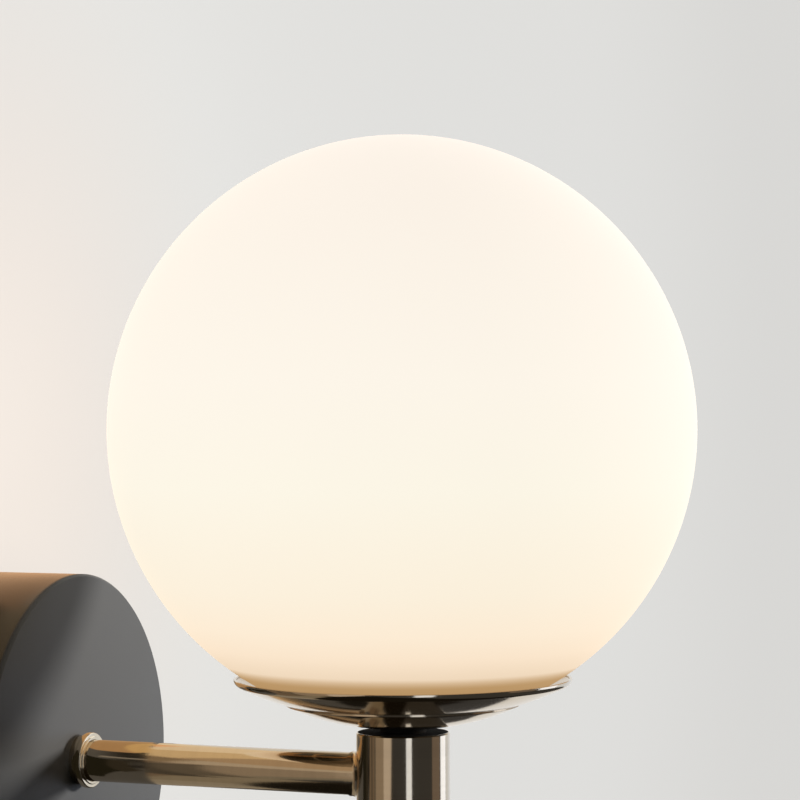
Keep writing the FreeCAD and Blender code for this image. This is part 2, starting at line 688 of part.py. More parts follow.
def make_holder():
    """Upright column: hollow, with a saddle-filleted boss that takes the end of the arm."""
    body = new_body("holder_body", "0", COLUMN_Y)
    turn(body, box_outline("0", "holder_d / 2", BASE_Z, "holder_rise"))
    boss = new_sketch(body, "XZ")
    boss_r = f"({ARM_R} + fit_gap + boss_wall)"
    draw_circle(boss, "0", "0", boss_r)
    stub = body.newObject("PartDesign::Pad", "holder_body_boss")
    stub.Profile = boss
    stub.Reversed = True
    tie(stub, "Length", "holder_d / 2 + boss_out")
    doc.recompute()

    def on_saddle(point):
        from_column = math.hypot(point.x, point.y)
        from_arm = math.hypot(point.x, point.z)
        return near(from_column, "holder_d / 2") and near(from_arm, boss_r)

    soften(body, "Fillet", "boss_fillet", on_saddle)
    soften(body, "Chamfer", "holder_edge", lambda point: near(point.z, "holder_rise"))
    soften(body, "Chamfer", "holder_edge", lambda point: near(point.z, BASE_Z))
    turn(body, box_outline("0", "holder_bore / 2", BASE_Z, ROOF_Z), cut=True)
    turn(body, box_outline("0", BORED_R, ROOF_Z, "holder_rise"), cut=True)
    bore(body, "XZ", [("0", "0", f"{ARM_R} + fit_gap")], "holder_d / 2 + 2 * boss_out", middle=False)

    cap_r = "(holder_bore / 2 - fit_gap)"
    low = f"({BASE_Z} + cap_inset)"
    turned("holder_cap", [
        ("0", low),
        (f"{cap_r} - cap_edge", low),
        (cap_r, f"{low} + cap_edge"),
        (cap_r, f"{low} + cap_thick"),
        ("0", f"{low} + cap_thick"),
    ])
    ring("neck_spacer", BORED_R, "neck_d / 2", "holder_rise", FOOT_Z)
    ring("column_nipple", "nipple_bore / 2", NIPPLE_R, ROOF_Z, CHAMBER_Z)


# Dish

def make_pan():
    """Lower dish: a shallow bowl whose edge stays short of the saucer, for the shadow line."""
    edge_z = f"({STEP_Z} - pan_shadow)"
    pan_r = f"({STEP_R} - pan_short)"
    land_r = f"({pan_r} - pan_land)"
    turned("dish_pan", [
        (BORED_R, FOOT_Z),
        ("pan_foot_d / 2", FOOT_Z),
        (pan_r, edge_z, "pan_round"),
        (land_r, edge_z),
        (land_r, STEP_Z),
        (f"{land_r} - pan_wall", STEP_Z),
        ("pan_foot_d / 2", f"{FOOT_Z} + pan_wall", "-pan_round"),
        (BORED_R, f"{FOOT_Z} + pan_wall"),
    ])


def make_saucer():
    """Saucer: a flat floor, a bowl that follows the glass, and a turned-up rim."""
    turn_r = "(saucer_d / 2 - rim_width)"
    bend_z = f"({RIM_Z} - rim_lip)"
    turn_z = f"({bend_z} - rim_turn)"
    inner_r = "(saucer_d / 2 - saucer_wall)"
    turned("dish_saucer", [
        (BORED_R, STEP_Z),
        (STEP_R, STEP_Z),
        (turn_r, turn_z, "saucer_round"),
        ("saucer_d / 2", bend_z, "rim_round"),
        ("saucer_d / 2", RIM_Z),
        (inner_r, RIM_Z),
        (inner_r, bend_z),
        (f"{turn_r} - rim_corner", f"{turn_z} + saucer_wall"),
        (LAND_R, FLOOR_Z, "-saucer_round"),
        (BORED_R, FLOOR_Z),
    ])


def make_fitter():
    """What holds the glass: gasket, cup and three riveted leaf springs, clamped by a nut."""
    lip_r = "(seat_d / 2)"
    ring("globe_gasket", f"({lip_r} - gasket_width)", lip_r, FLOOR_Z, f"({FLOOR_Z} + gasket_thick)")

    rim_z = f"({FLOOR_Z} + cup_height)"
    rivet_z = f"({rim_z} - rivet_drop)"
    rivet_hole = [("0", rivet_z, "rivet_d / 2 + fit_gap")]
    cup = turned("fitter_cup", [
        (BORED_R, FLOOR_Z),
        (f"{CUP_R} - 2 * cup_wall", FLOOR_Z),
        (CUP_R, f"{FLOOR_Z} + 2 * cup_wall", "2 * cup_wall"),
        (CUP_R, rim_z),
        (f"{CUP_R} - cup_wall", rim_z),
        (f"{CUP_R} - cup_wall", f"{FLOOR_Z} + 2 * cup_wall"),
        (f"{CUP_R} - 2 * cup_wall", STACK_Z, "-cup_wall"),
        (BORED_R, STACK_Z),
    ])
    hole = bore(cup, "YZ", rivet_hole, f"2 * {CUP_R}", middle=False, back=True)
    repeat(cup, [hole], 3)

    springs = new_body("globe_springs", "0", COLUMN_Y)
    wide_x = f"(sqrt({MOUTH_R} ^ 2 - (spring_width / 2) ^ 2) - spring_gap)"
    back_x = f"({wide_x} - spring_thick)"
    top_z = f"({rim_z} - spring_top)"
    bend_z = f"({rivet_z} - rivet_head_d / 2 - spring_bend)"
    touch_z = f"({FLOOR_Z} + spring_touch)"
    foot_z = f"({FLOOR_Z} + spring_foot)"
    leaf = pad(springs, "XZ", [
        (CUP_R, top_z),
        (CUP_R, bend_z),
        (back_x, touch_z),
        (f"{back_x} - spring_toe", foot_z),
        (f"{wide_x} - spring_toe", foot_z),
        (wide_x, touch_z),
        (f"{CUP_R} + spring_thick", bend_z),
        (f"{CUP_R} + spring_thick", top_z),
    ], "spring_width")
    leaf_hole = bore(springs, "YZ", rivet_hole, f"2 * {CUP_R}", middle=False, back=True)
    repeat(springs, [leaf, leaf_hole], 3)

    rivets = new_body("spring_rivets", "0", COLUMN_Y)
    sketch = new_sketch(rivets, "XZ")
    inside = f"sqrt(({CUP_R} - cup_wall) ^ 2 - (rivet_head_d / 2) ^ 2)"
    outside = f"({CUP_R} + spring_thick)"
    shank = f"{rivet_z} + rivet_d / 2"
    head = f"{rivet_z} + rivet_head_d / 2"
    draw(sketch, [
        (f"{inside} - rivet_head", rivet_z),
        (f"{outside} + rivet_head", rivet_z),
        (f"{outside} + rivet_head", shank),
        (outside, head),
        (outside, shank),
        (inside, shank),
        (inside, head),
        (f"{inside} - rivet_head", shank),
    ])
    axis = sketch.addGeometry(Part.LineSegment(FreeCAD.Vector(0, number(rivet_z), 0),
                                               FreeCAD.Vector(1, number(rivet_z), 0)), True)
    pin(sketch, axis, 1, "0", rivet_z)
    sketch.addConstraint(Sketcher.Constraint("Horizontal", axis))
    rivet = rivets.newObject("PartDesign::Revolution", "spring_rivets_turned")
    rivet.Profile = sketch
    rivet.ReferenceAxis = (sketch, ["Axis0"])
    rivet.Angle = 360
    doc.recompute()
    repeat(rivets, [rivet], 3)

    ring("column_washer", BORED_R, "washer_d / 2", STACK_Z, f"({STACK_Z} + washer_thick)")
    hex_nut("column_nut", "0", COLUMN_Y, f"{STACK_Z} + washer_thick", upright=True)


# Socket and bulb

def make_socket():
    """Lamp socket: insulating body, screw shell, folded contact tongue and two terminal rivets."""
    turned("socket_body", [
        (BORED_R, SOCKET_Z),
        ("socket_foot_d / 2", SOCKET_Z),
        ("socket_d / 2", f"{SOCKET_Z} + socket_flare"),
        ("socket_d / 2", f"{SOCKET_TOP} - socket_edge"),
        ("socket_d / 2 - socket_edge", SOCKET_TOP),
        (WELL_R, SOCKET_TOP),
        (WELL_R, WELL_Z),
        ("0", WELL_Z),
        ("0", WEB_Z),
        ("chamber_d / 2", WEB_Z),
        ("chamber_d / 2", CHAMBER_Z),
        (BORED_R, CHAMBER_Z),
    ])
    studs = [("-stud_out", "0", "stud_d / 2 + fit_gap"), ("stud_out", "0", "stud_d / 2 + fit_gap")]
    through = f"2 * {SOCKET_TOP}"
    bore(parts[-1], "XY", studs, through)

    shell = turned("socket_shell", [
        ("0", WELL_Z),
        (f"{SHELL_R} + shell_wall", WELL_Z),
        (f"{SHELL_R} + shell_wall", f"{SOCKET_TOP} - shell_drop"),
        (SHELL_R, f"{SOCKET_TOP} - shell_drop"),
        (SHELL_R, f"{WELL_Z} + shell_wall"),
        ("0", f"{WELL_Z} + shell_wall"),
    ])
    heel_x = "(stud_out - stud_d / 2 - tongue_heel)"
    side = "(tongue_width / 2 + tongue_room)"
    window = new_sketch(shell, "XY")
    draw(window, box_outline(f"{heel_x} - tongue_room", "tongue_far + tongue_room", f"-{side}", side))
    pocket(shell, window, through)
    bore(shell, "XY", studs[:1], through)

    contact = new_body("socket_contact", "0", COLUMN_Y)
    pad(contact, "XZ", [
        (heel_x, WELL_Z),
        ("tongue_far", WELL_Z),
        ("tongue_far", f"{WELL_Z} + tongue_fold"),
        ("-tongue_tip", f"{WELL_Z} + tongue_rise"),
        ("-tongue_tip", f"{WELL_Z} + tongue_rise - tongue_thick"),
        ("tongue_far - tongue_thick", f"{WELL_Z} + tongue_fold - tongue_thick"),
        ("tongue_far - tongue_thick", f"{WELL_Z} + tongue_thick"),
        (heel_x, f"{WELL_Z} + tongue_thick"),
    ], "tongue_width")
    stud_hole = new_sketch(contact, "XY", f"{WELL_Z} + tongue_thick")
    draw_circle(stud_hole, "stud_out", "0", "stud_d / 2 + fit_gap")
    pocket(contact, stud_hole, "2 * tongue_thick", middle=False)

    studs_body = new_body("socket_rivets", "0", COLUMN_Y)
    stud_low = f"({CHAMBER_Z} + lead_gap)"
    for side in ("", "-"):
        sheet_thick = "tongue_thick" if side == "" else "shell_wall"
        sketch = new_sketch(studs_body, "XZ")
        middle = f"({side}1 * stud_out)"
        seat = f"({WELL_Z} + {sheet_thick})"
        half = [
            ("0", stud_low),
            ("stud_d / 2", stud_low),
            ("stud_d / 2", seat),
            ("stud_head_d / 2", seat),
            ("stud_d / 2", f"{seat} + stud_head"),
            ("0", f"{seat} + stud_head"),
        ]
        draw(sketch, [(f"{middle} + {across}", along) for across, along in half])
        axis = sketch.addGeometry(Part.LineSegment(FreeCAD.Vector(number(middle), 0, 0),
                                                   FreeCAD.Vector(number(middle), 1, 0)), True)
        pin(sketch, axis, 1, middle, "0")
        sketch.addConstraint(Sketcher.Constraint("Vertical", axis))
        stud = studs_body.newObject("PartDesign::Revolution", "socket_rivets_turned")
        stud.Profile = sketch
        stud.ReferenceAxis = (sketch, ["Axis0"])
        stud.Angle = 360
        doc.recompute()


def make_bulb():
    """Screw-in bulb: contact button and insulator, screw cap, and the glass envelope."""
    cap_r = "(bulb_cap_d / 2)"
    cap_in = "(bulb_cap_d / 2 - bulb_cap_wall)"
    cone_z = f"({TIP_Z} + button_height)"
    turned("bulb_insulator", [
        ("0", TIP_Z),
        ("button_d / 2 - button_height", TIP_Z),
        ("button_d / 2", cone_z),
        (cap_r, CAP_Z),
        (f"{cap_in} - fit_gap", CAP_Z),
        (f"{cap_in} - fit_gap", f"{CAP_Z} + cone_top"),
        ("0", f"{CAP_Z} + cone_top"),
    ])
    ring("bulb_cap", cap_in, cap_r, CAP_Z, NECK_Z)

    dome_z = f"({TIP_Z} + bulb_length - bulb_d / 2)"
    neck_top = f"({NECK_Z} + bulb_neck)"
    drop = f"({dome_z} - {neck_top})"

    def envelope(inset):
        """Neck radius, dome radius, flare radius and the point where flare and dome meet."""
        neck_r = f"({cap_r} + bulb_neck_out - {inset})"
        dome_r = f"(bulb_d / 2 - {inset})"
        flare = f"(({neck_r} ^ 2 + {drop} ^ 2 - {dome_r} ^ 2) / (2 * ({dome_r} - {neck_r})))"
        meet_r = f"({dome_r} * ({neck_r} + {flare}) / ({dome_r} + {flare}))"
        meet_z = f"({dome_z} - {dome_r} * {drop} / ({dome_r} + {flare}))"
        return neck_r, dome_r, flare, meet_r, meet_z

    neck_r, dome_r, flare, meet_r, meet_z = envelope("0")
    neck_in, dome_in, flare_in, meet_in_r, meet_in_z = envelope("bulb_wall")
    stem_r = f"({cap_in} - fit_gap)"
    turned("bulb_glass", [
        (f"{stem_r} - bulb_wall", f"{NECK_Z} - bulb_tuck"),
        (stem_r, f"{NECK_Z} - bulb_tuck"),
        (stem_r, NECK_Z),
        (neck_r, f"{NECK_Z} + bulb_wall"),
        (neck_r, neck_top),
        (meet_r, meet_z, f"-{flare}"),
        ("0", f"{dome_z} + {dome_r}", dome_r),
        ("0", f"{dome_z} + {dome_in}"),
        (meet_in_r, meet_in_z, f"-{dome_in}"),
        (neck_in, neck_top, flare_in),
        (neck_in, f"{NECK_Z} + bulb_wall"),
        (f"{stem_r} - bulb_wall", NECK_Z),
    ])


def make_globe():
    """Opal glass globe: a hollow ball with a ground lip round its bottom opening."""
    outer = "(globe_d / 2)"
    inner = "(globe_d / 2 - glass_wall)"
    turned("globe", [
        ("0", f"{GLOBE_Z} + {outer}"),
        ("seat_d / 2", LIP_Z, f"-{outer}"),
        (MOUTH_R, LIP_Z),
        (MOUTH_R, f"{GLOBE_Z} - sqrt({inner} ^ 2 - {MOUTH_R} ^ 2)"),
        ("0", f"{GLOBE_Z} + {inner}", inner),
    ])


def check_all():
    """Stop at a failed object or a bad shape, before anything is written."""
    doc.recompute()
    for thing in doc.Objects:
        if "Invalid" in thing.State or "Error" in thing.State:
            raise ValueError(f"{thing.Label}: {thing.State}")
    for part in parts:
        if part.Shape.isNull() or not part.Shape.isValid() or part.Shape.Volume <= 0:
            raise ValueError(f"{part.Label}: bad shape")


def main():
    """Build every sub-part and write one STEP file for each."""
    make_crossbar()
    make_canopy()
    make_canopy_screws()
    make_earth()
    make_arm()
    make_leads()
    make_connectors()
    make_holder()
    make_pan()
    make_saucer()
    make_fitter()
    make_socket()
    make_bulb()
    make_globe()
    check_all()
    os.makedirs("parts", exist_ok=True)
    for part in parts:
        part.Shape.exportStep(f"parts/{part.Label}.step")
        print(part.Label, len(part.Shape.Solids), round(part.Shape.Volume, 1))


main()
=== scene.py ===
import logging
import math
from dataclasses import dataclass, field
from enum import Enum

import bmesh
import bpy
from mathutils import Matrix, Vector


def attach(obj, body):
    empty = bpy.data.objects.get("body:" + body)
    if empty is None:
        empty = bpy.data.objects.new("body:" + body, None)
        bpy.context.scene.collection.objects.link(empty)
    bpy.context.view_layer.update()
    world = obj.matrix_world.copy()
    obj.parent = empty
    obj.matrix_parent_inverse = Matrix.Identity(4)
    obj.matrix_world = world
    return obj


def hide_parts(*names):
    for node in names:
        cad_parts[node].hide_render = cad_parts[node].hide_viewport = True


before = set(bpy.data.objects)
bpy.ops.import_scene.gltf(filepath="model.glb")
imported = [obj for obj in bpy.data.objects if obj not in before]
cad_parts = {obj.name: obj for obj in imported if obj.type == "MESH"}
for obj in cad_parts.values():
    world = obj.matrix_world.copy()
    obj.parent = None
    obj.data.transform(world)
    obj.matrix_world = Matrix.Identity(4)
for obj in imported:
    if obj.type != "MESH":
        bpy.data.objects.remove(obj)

log = logging.getLogger("globe_sconce")

MM = 0.001
COLUMN_Y = -162.5
FOOT = Vector((0.0, COLUMN_Y * MM, 0.0))
ORIGIN = Vector((0.0, 0.0, 0.0))
UP = Vector((0.0, 0.0, 1.0))
FINE_ROUND = 224
CRISP = 30.0
BUMP_HEIGHT = 0.0002

Point = tuple[float, float]
Colour = tuple[float, float, float]
Inputs = dict[str | int, object]
Carried = tuple[tuple[str, str, float], ...]


class Axis(Enum):
    """The line that a turned piece goes round."""

    COLUMN = "column"
    ARM = "arm"
    ACROSS = "across"

    def place(self, radius: float, along: float) -> Vector:
        """Where a profile point lies before it is turned.

        Args:
            radius: Distance from the line, in millimetres.
            along: Distance along the line from the lamp's origin, in millimetres.

        Returns:
            The point in metres.
        """
        if self is Axis.COLUMN:
            return Vector((radius, COLUMN_Y, along)) * MM
        if self is Axis.ARM:
            return Vector((radius, along, 0.0)) * MM
        return Vector((along, 0.0, radius)) * MM

    @property
    def direction(self) -> Vector:
        """The line's direction."""
        return {
            Axis.COLUMN: UP,
            Axis.ARM: Vector((0.0, 1.0, 0.0)),
            Axis.ACROSS: Vector((1.0, 0.0, 0.0)),
        }[self]

    @property
    def centre(self) -> Vector:
        """A point on the line, in metres."""
        return FOOT if self is Axis.COLUMN else ORIGIN


# Shapes


@dataclass
class Outline:
    """A profile drawn point by point, as (radius, distance along the axis) in millimetres."""

    points: list[Point] = field(default_factory=list)

    def to(self, radius: float, along: float) -> "Outline":
        """Draw a straight line to a point, and return the outline itself."""
        self.points.append((radius, along))
        return self

    def arc(self, radius: float, along: float, bend: float, steps: int) -> "Outline":
        """Draw an arc to a point.

        Args:
            radius: The end's distance from the axis.
            along: The end's distance along the axis.
            bend: The arc's radius, positive where it turns left on its way.
            steps: The number of straight pieces.

        Returns:
            The outline itself.
        """
        start, end = Vector(self.points[-1]), Vector((radius, along))
        chord = end - start
        half = chord.length / 2
        side = Vector((-chord.y, chord.x)).normalized()
        rise = math.sqrt(max(bend * bend - half * half, 0.0))
        centre = (start + end) / 2 + side * math.copysign(rise, bend)
        first = math.atan2(start.y - centre.y, start.x - centre.x)
        sweep = math.copysign(2 * math.asin(min(half / abs(bend), 1.0)), bend)
        for step in range(1, steps + 1):
            turn = first + sweep * step / steps
            self.points.append((centre.x + abs(bend) * math.cos(turn),
                                centre.y + abs(bend) * math.sin(turn)))
        return self


def smooth(mesh: bpy.types.Mesh, sharp: float = CRISP) -> None:
    """Shade a mesh smooth, but leave edges crisp that are steeper than this angle in degrees."""
    mesh.shade_smooth()
    mesh.set_sharp_from_angle(angle=math.radians(sharp))


def linked(name: str, data: bpy.types.ID) -> bpy.types.Object:
    """Make an object at the origin and link it to the scene.

    Args:
        name: The object's name.
        data: Its mesh, light or camera.

    Returns:
        The new object.
    """
    piece = bpy.data.objects.new(name, data)
    bpy.context.scene.collection.objects.link(piece)
    return piece


def finish_mesh(name: str, work: bmesh.types.BMesh, sharp: float = CRISP) -> bpy.types.Object:
    """Turn a bmesh into a smooth-shaded object at the origin.

    Args:
        name: The piece's name.
        work: The mesh so far. It is freed.
        sharp: Edges steeper than this angle, in degrees, stay crisp.

    Returns:
        The new object.
    """
    bmesh.ops.remove_doubles(work, verts=work.verts, dist=1e-7)
    bmesh.ops.dissolve_degenerate(work, edges=work.edges, dist=1e-8)
    bmesh.ops.recalc_face_normals(work, faces=work.faces)
    mesh = bpy.data.meshes.new(name)
    work.to_mesh(mesh)
    work.free()
    smooth(mesh, sharp)
    return linked(name, mesh)


def spin(work: bmesh.types.BMesh, outline: Outline, axis: Axis, steps: int,
         closed: bool = True, offset: Vector = ORIGIN) -> None:
    """Turn an outline once round an axis and add it to a mesh.

    Args:
        work: The mesh that takes it.
        outline: The profile.
        axis: The line to turn round.
        steps: The number of segments round.
        closed: Whether the profile's last point joins its first.
        offset: A shift of the profile and its axis, in metres.
    """
    verts = [work.verts.new(axis.place(*point) + offset) for point in outline.points]
    edges = [work.edges.new(pair) for pair in zip(verts, verts[1:])]
    if closed:
        edges.append(work.edges.new((verts[-1], verts[0])))
    bmesh.ops.spin(work, geom=verts + edges, cent=axis.centre + offset, axis=axis.direction,
                   dvec=ORIGIN, angle=math.tau, space=Matrix.Identity(4),
                   steps=steps, use_merge=True, use_normal_flip=False, use_duplicate=False)


def lathe(name: str, outline: Outline, axis: Axis, steps: int, closed: bool = True,
          sharp: float = CRISP) -> bpy.types.Object:
    """Make a piece that is one outline turned once round an axis.

    Args:
        name: The piece's name.
        outline: The profile.
        axis: The line to turn round.
        steps: The number of segments round.
        closed: Whether the profile's last point joins its first.
        sharp: Edges steeper than this angle, in degrees, stay crisp.

    Returns:
        The new object.
    """
    work = bmesh.new()
    spin(work, outline, axis, steps, closed)
    return finish_mesh(name, work, sharp)


def ring(work: bmesh.types.BMesh, points: list[Vector]) -> list[bmesh.types.BMEdge]:
    """Add a closed ring of edges through points in millimetres, and return the edges."""
    verts = [work.verts.new(point * MM) for point in points]
    return [work.edges.new(pair) for pair in zip(verts, verts[1:] + verts[:1])]


def bridge(work: bmesh.types.BMesh, rings: list[list[bmesh.types.BMEdge]]) -> None:
    """Join each ring of edges to the next one with faces."""
    for below, above in zip(rings, rings[1:]):
        bmesh.ops.bridge_loops(work, edges=below + above)


def carve(piece: bpy.types.Object, cutters: list[bpy.types.Object]) -> None:
    """Cut solids out of a piece for good, and remove them.

    Args:
        piece: The piece to cut.
        cutters: The solids.
    """
    for cutter in cutters:
        cut = piece.modifiers.new("cut", "BOOLEAN")
        cut.operation = "DIFFERENCE"
        cut.solver = "EXACT"
        cut.object = cutter
    bpy.context.view_layer.update()
    graph = bpy.context.evaluated_depsgraph_get()
    mesh = bpy.data.meshes.new_from_object(piece.evaluated_get(graph))
    piece.modifiers.clear()
    piece.data = mesh
    smooth(mesh)
    for cutter in cutters:
        bpy.data.objects.remove(cutter)


def block(low: Vector, high: Vector) -> bpy.types.Object:
    """Make a plain box to cut with.

    Args:
        low: Its lowest corner, in metres.
        high: Its highest corner, in metres.

    Returns:
        The box.
    """
    work = bmesh.new()
    shape = Matrix.Translation((low + high) / 2) @ Matrix.Diagonal((*(high - low), 1.0))
    bmesh.ops.create_cube(work, size=1.0, matrix=shape)
    return finish_mesh("cutter", work)


# Node graphs


class Graph:
    """Adds nodes to one node tree and links them."""

    def __init__(self, tree: bpy.types.NodeTree) -> None:
        """Keep the tree that takes the nodes."""
        self.tree = tree

    def feed(self, node: bpy.types.Node, inputs: Inputs) -> bpy.types.Node:
        """Set or link a node's inputs.

        Args:
            node: The node.
            inputs: Socket name or number to a value, or to an output socket to link.

        Returns:
            The node.
        """
        for key, value in inputs.items():
            if isinstance(value, bpy.types.NodeSocket):
                self.tree.links.new(value, node.inputs[key])
            else:
                node.inputs[key].default_value = value
        return node

    def add(self, kind: str, inputs: Inputs | None = None, **settings: object) -> bpy.types.Node:
        """Add a node.

        Args:
            kind: The node's type name.
            inputs: What its sockets get, as feed takes it.
            **settings: Attributes to set on the node first.

        Returns:
            The node.
        """
        node = self.tree.nodes.new(kind)
        for key, value in settings.items():
            setattr(node, key, value)
        return self.feed(node, inputs or {})

    def math(self, operation: str, first: object, second: object) -> bpy.types.NodeSocket:
        """Add a Math node on values or sockets, and return its output."""
        return self.add("ShaderNodeMath", {0: first, 1: second}, operation=operation).outputs[0]

    def vector(self, operation: str, first: object,
               second: object = (0.0, 0.0, 0.0)) -> bpy.types.NodeSocket:
        """Add a Vector Math node.

        Args:
            operation: Its operation.
            first: Vector or socket.
            second: Vector or socket.

        Returns:
            Its number for a length, a distance or a dot product, otherwise its vector.
        """
        node = self.add("ShaderNodeVectorMath", {0: first, 1: second}, operation=operation)
        gives = "Value" if operation in ("LENGTH", "DISTANCE", "DOT_PRODUCT") else "Vector"
        return node.outputs[gives]

    def noise(self, place: bpy.types.NodeSocket, scale: object, detail: float,
              roughness: float = 0.5) -> bpy.types.NodeSocket:
        """Add a Noise Texture node that is read at a place, and return its values."""
        return self.add("ShaderNodeTexNoise", {"Vector": place, "Scale": scale, "Detail": detail,
                                               "Roughness": roughness}).outputs["Fac"]

    def ramp(self, value: bpy.types.NodeSocket, rows: list[tuple[float, Colour]],
             blend: str = "LINEAR") -> bpy.types.NodeSocket:
        """Give each value from 0 to 1 a colour.

        Args:
            value: The input.
            rows: Each stop's place and colour, from low to high.
            blend: How the colours run from stop to stop.

        Returns:
            The colour.
        """
        node = self.add("ShaderNodeValToRGB", {0: value})
        node.color_ramp.interpolation = blend
        stops = node.color_ramp.elements
        while len(stops) < len(rows):
            stops.new(0.5)
        for stop, (place, colour) in zip(stops, rows):
            stop.position = place
            stop.color = (*colour, 1.0)
        return node.outputs[0]

    def bump(self, height: bpy.types.NodeSocket, strength: float) -> bpy.types.NodeSocket:
        """Add a Bump node, and return its normal."""
        return self.add("ShaderNodeBump", {"Height": height, "Strength": strength,
                                           "Distance": BUMP_HEIGHT}).outputs["Normal"]

    def group(self, shared: bpy.types.NodeTree, inputs: Inputs) -> bpy.types.NodeOutputs:
        """Add an instance of a node group, and return its outputs."""
        return self.add("ShaderNodeGroup", inputs, node_tree=shared).outputs


FLOAT = "NodeSocketFloat"
VECTOR = "NodeSocketVector"
COLOUR = "NodeSocketColor"


def new_group(name: str, takes: dict[str, tuple[str, object]], gives: dict[str, str]) -> tuple[
        bpy.types.NodeTree, Graph, bpy.types.NodeOutputs, bpy.types.Node]:
    """Start a node group with named sockets.

    Args:
        name: The group's name.
        takes: Input name to its socket type and first value.
        gives: Output name to its socket type.

    Returns:
        The group, its Graph, the sockets that give its inputs, and its output node.
    """
    tree = bpy.data.node_groups.new(name, "ShaderNodeTree")
    for label, (kind, value) in takes.items():
        socket = tree.interface.new_socket(name=label, in_out="INPUT", socket_type=kind)
        if value is not None:
            socket.default_value = value
    for label, kind in gives.items():
        tree.interface.new_socket(name=label, in_out="OUTPUT", socket_type=kind)
    graph = Graph(tree)
    return tree, graph, graph.add("NodeGroupInput").outputs, graph.add("NodeGroupOutput")


class Effects:
    """Node groups that several finishes share. Each gives colours, masks or values only."""

    def __init__(self) -> None:
        """Build the groups once."""
        self.turned = self._turned()
        self.speckle = self._speckle()
        self.tone = self._tone()
        self.wear = self._wear()

    def _turned(self) -> bpy.types.NodeTree:
        """Fine rings that a lathe tool or a polishing wheel leaves round an axis.

        Returns:
            The group.
        """
        tree, g, takes, gives = new_group(
            "Turned Rings",
            {"Radial": (VECTOR, None), "Along": (FLOAT, 0.0), "Pitch": (FLOAT, 2500.0)},
            {"Rings": FLOAT, "Broad": FLOAT})
        radius = g.vector("LENGTH", takes["Radial"])
        place = g.add("ShaderNodeCombineXYZ", {0: radius, 1: takes["Along"]}).outputs[0]
        slow = g.math("MULTIPLY", takes["Pitch"], 0.13)
        g.feed(gives, {"Rings": g.noise(place, takes["Pitch"], 3.0, 0.6),
                       "Broad": g.noise(place, slow, 2.0)})
        return tree

    def _speckle(self) -> bpy.types.NodeTree:
        """Fine grain and soft clouds, the same in every direction.

        Returns:
            The group.
        """
        tree, g, takes, gives = new_group(
            "Speckle", {"Vector": (VECTOR, None), "Scale": (FLOAT, 1500.0)},
            {"Grain": FLOAT, "Clouds": FLOAT})
        slow = g.math("MULTIPLY", takes["Scale"], 0.05)
        g.feed(gives, {"Grain": g.noise(takes["Vector"], takes["Scale"], 4.0, 0.65),
                       "Clouds": g.noise(takes["Vector"], slow, 3.0)})
        return tree

    def _tone(self) -> bpy.types.NodeTree:
        """A colour that a mask makes lighter and darker by a share.

        Returns:
            The group.
        """
        tree, g, takes, gives = new_group(
            "Tone", {"Colour": (COLOUR, (0.5, 0.5, 0.5, 1.0)), "Mask": (FLOAT, 0.5), "Share": (FLOAT, 0.1)},
            {"Colour": COLOUR})
        centred = g.math("SUBTRACT", takes["Mask"], 0.5)
        gain = g.math("ADD", g.math("MULTIPLY", centred, takes["Share"]), 1.0)
        g.feed(gives, {"Colour": g.vector("MULTIPLY", takes["Colour"], gain)})
        return tree

    def _wear(self) -> bpy.types.NodeTree:
        """A roughness that two masks push up and down.

        Returns:
            The group.
        """
        tree, g, takes, gives = new_group(
            "Rough",
            {"Base": (FLOAT, 0.3), "Fine": (FLOAT, 0.5), "Broad": (FLOAT, 0.5), "Share": (FLOAT, 0.1)},
            {"Roughness": FLOAT})
        both = g.math("SUBTRACT", g.math("ADD", takes["Fine"], takes["Broad"]), 1.0)
        g.feed(gives, {"Roughness": g.math("ADD", takes["Base"], g.math("MULTIPLY", both, takes["Share"]))})
        return tree


effects = Effects()


# Finishes


def blank(name: str) -> tuple[bpy.types.Material, Graph, bpy.types.Node, bpy.types.NodeSocket]:
    """Start a material with one Principled shader.

    Args:
        name: The material's name.

    Returns:
        The material, its Graph, its shader and the object coordinates.
    """
    material = bpy.data.materials.new(name)
    material.use_nodes = True
    graph = Graph(material.node_tree)
    shader = material.node_tree.nodes["Principled BSDF"]
    place = graph.add("ShaderNodeTexCoord").outputs["Object"]
    return material, graph, shader, place


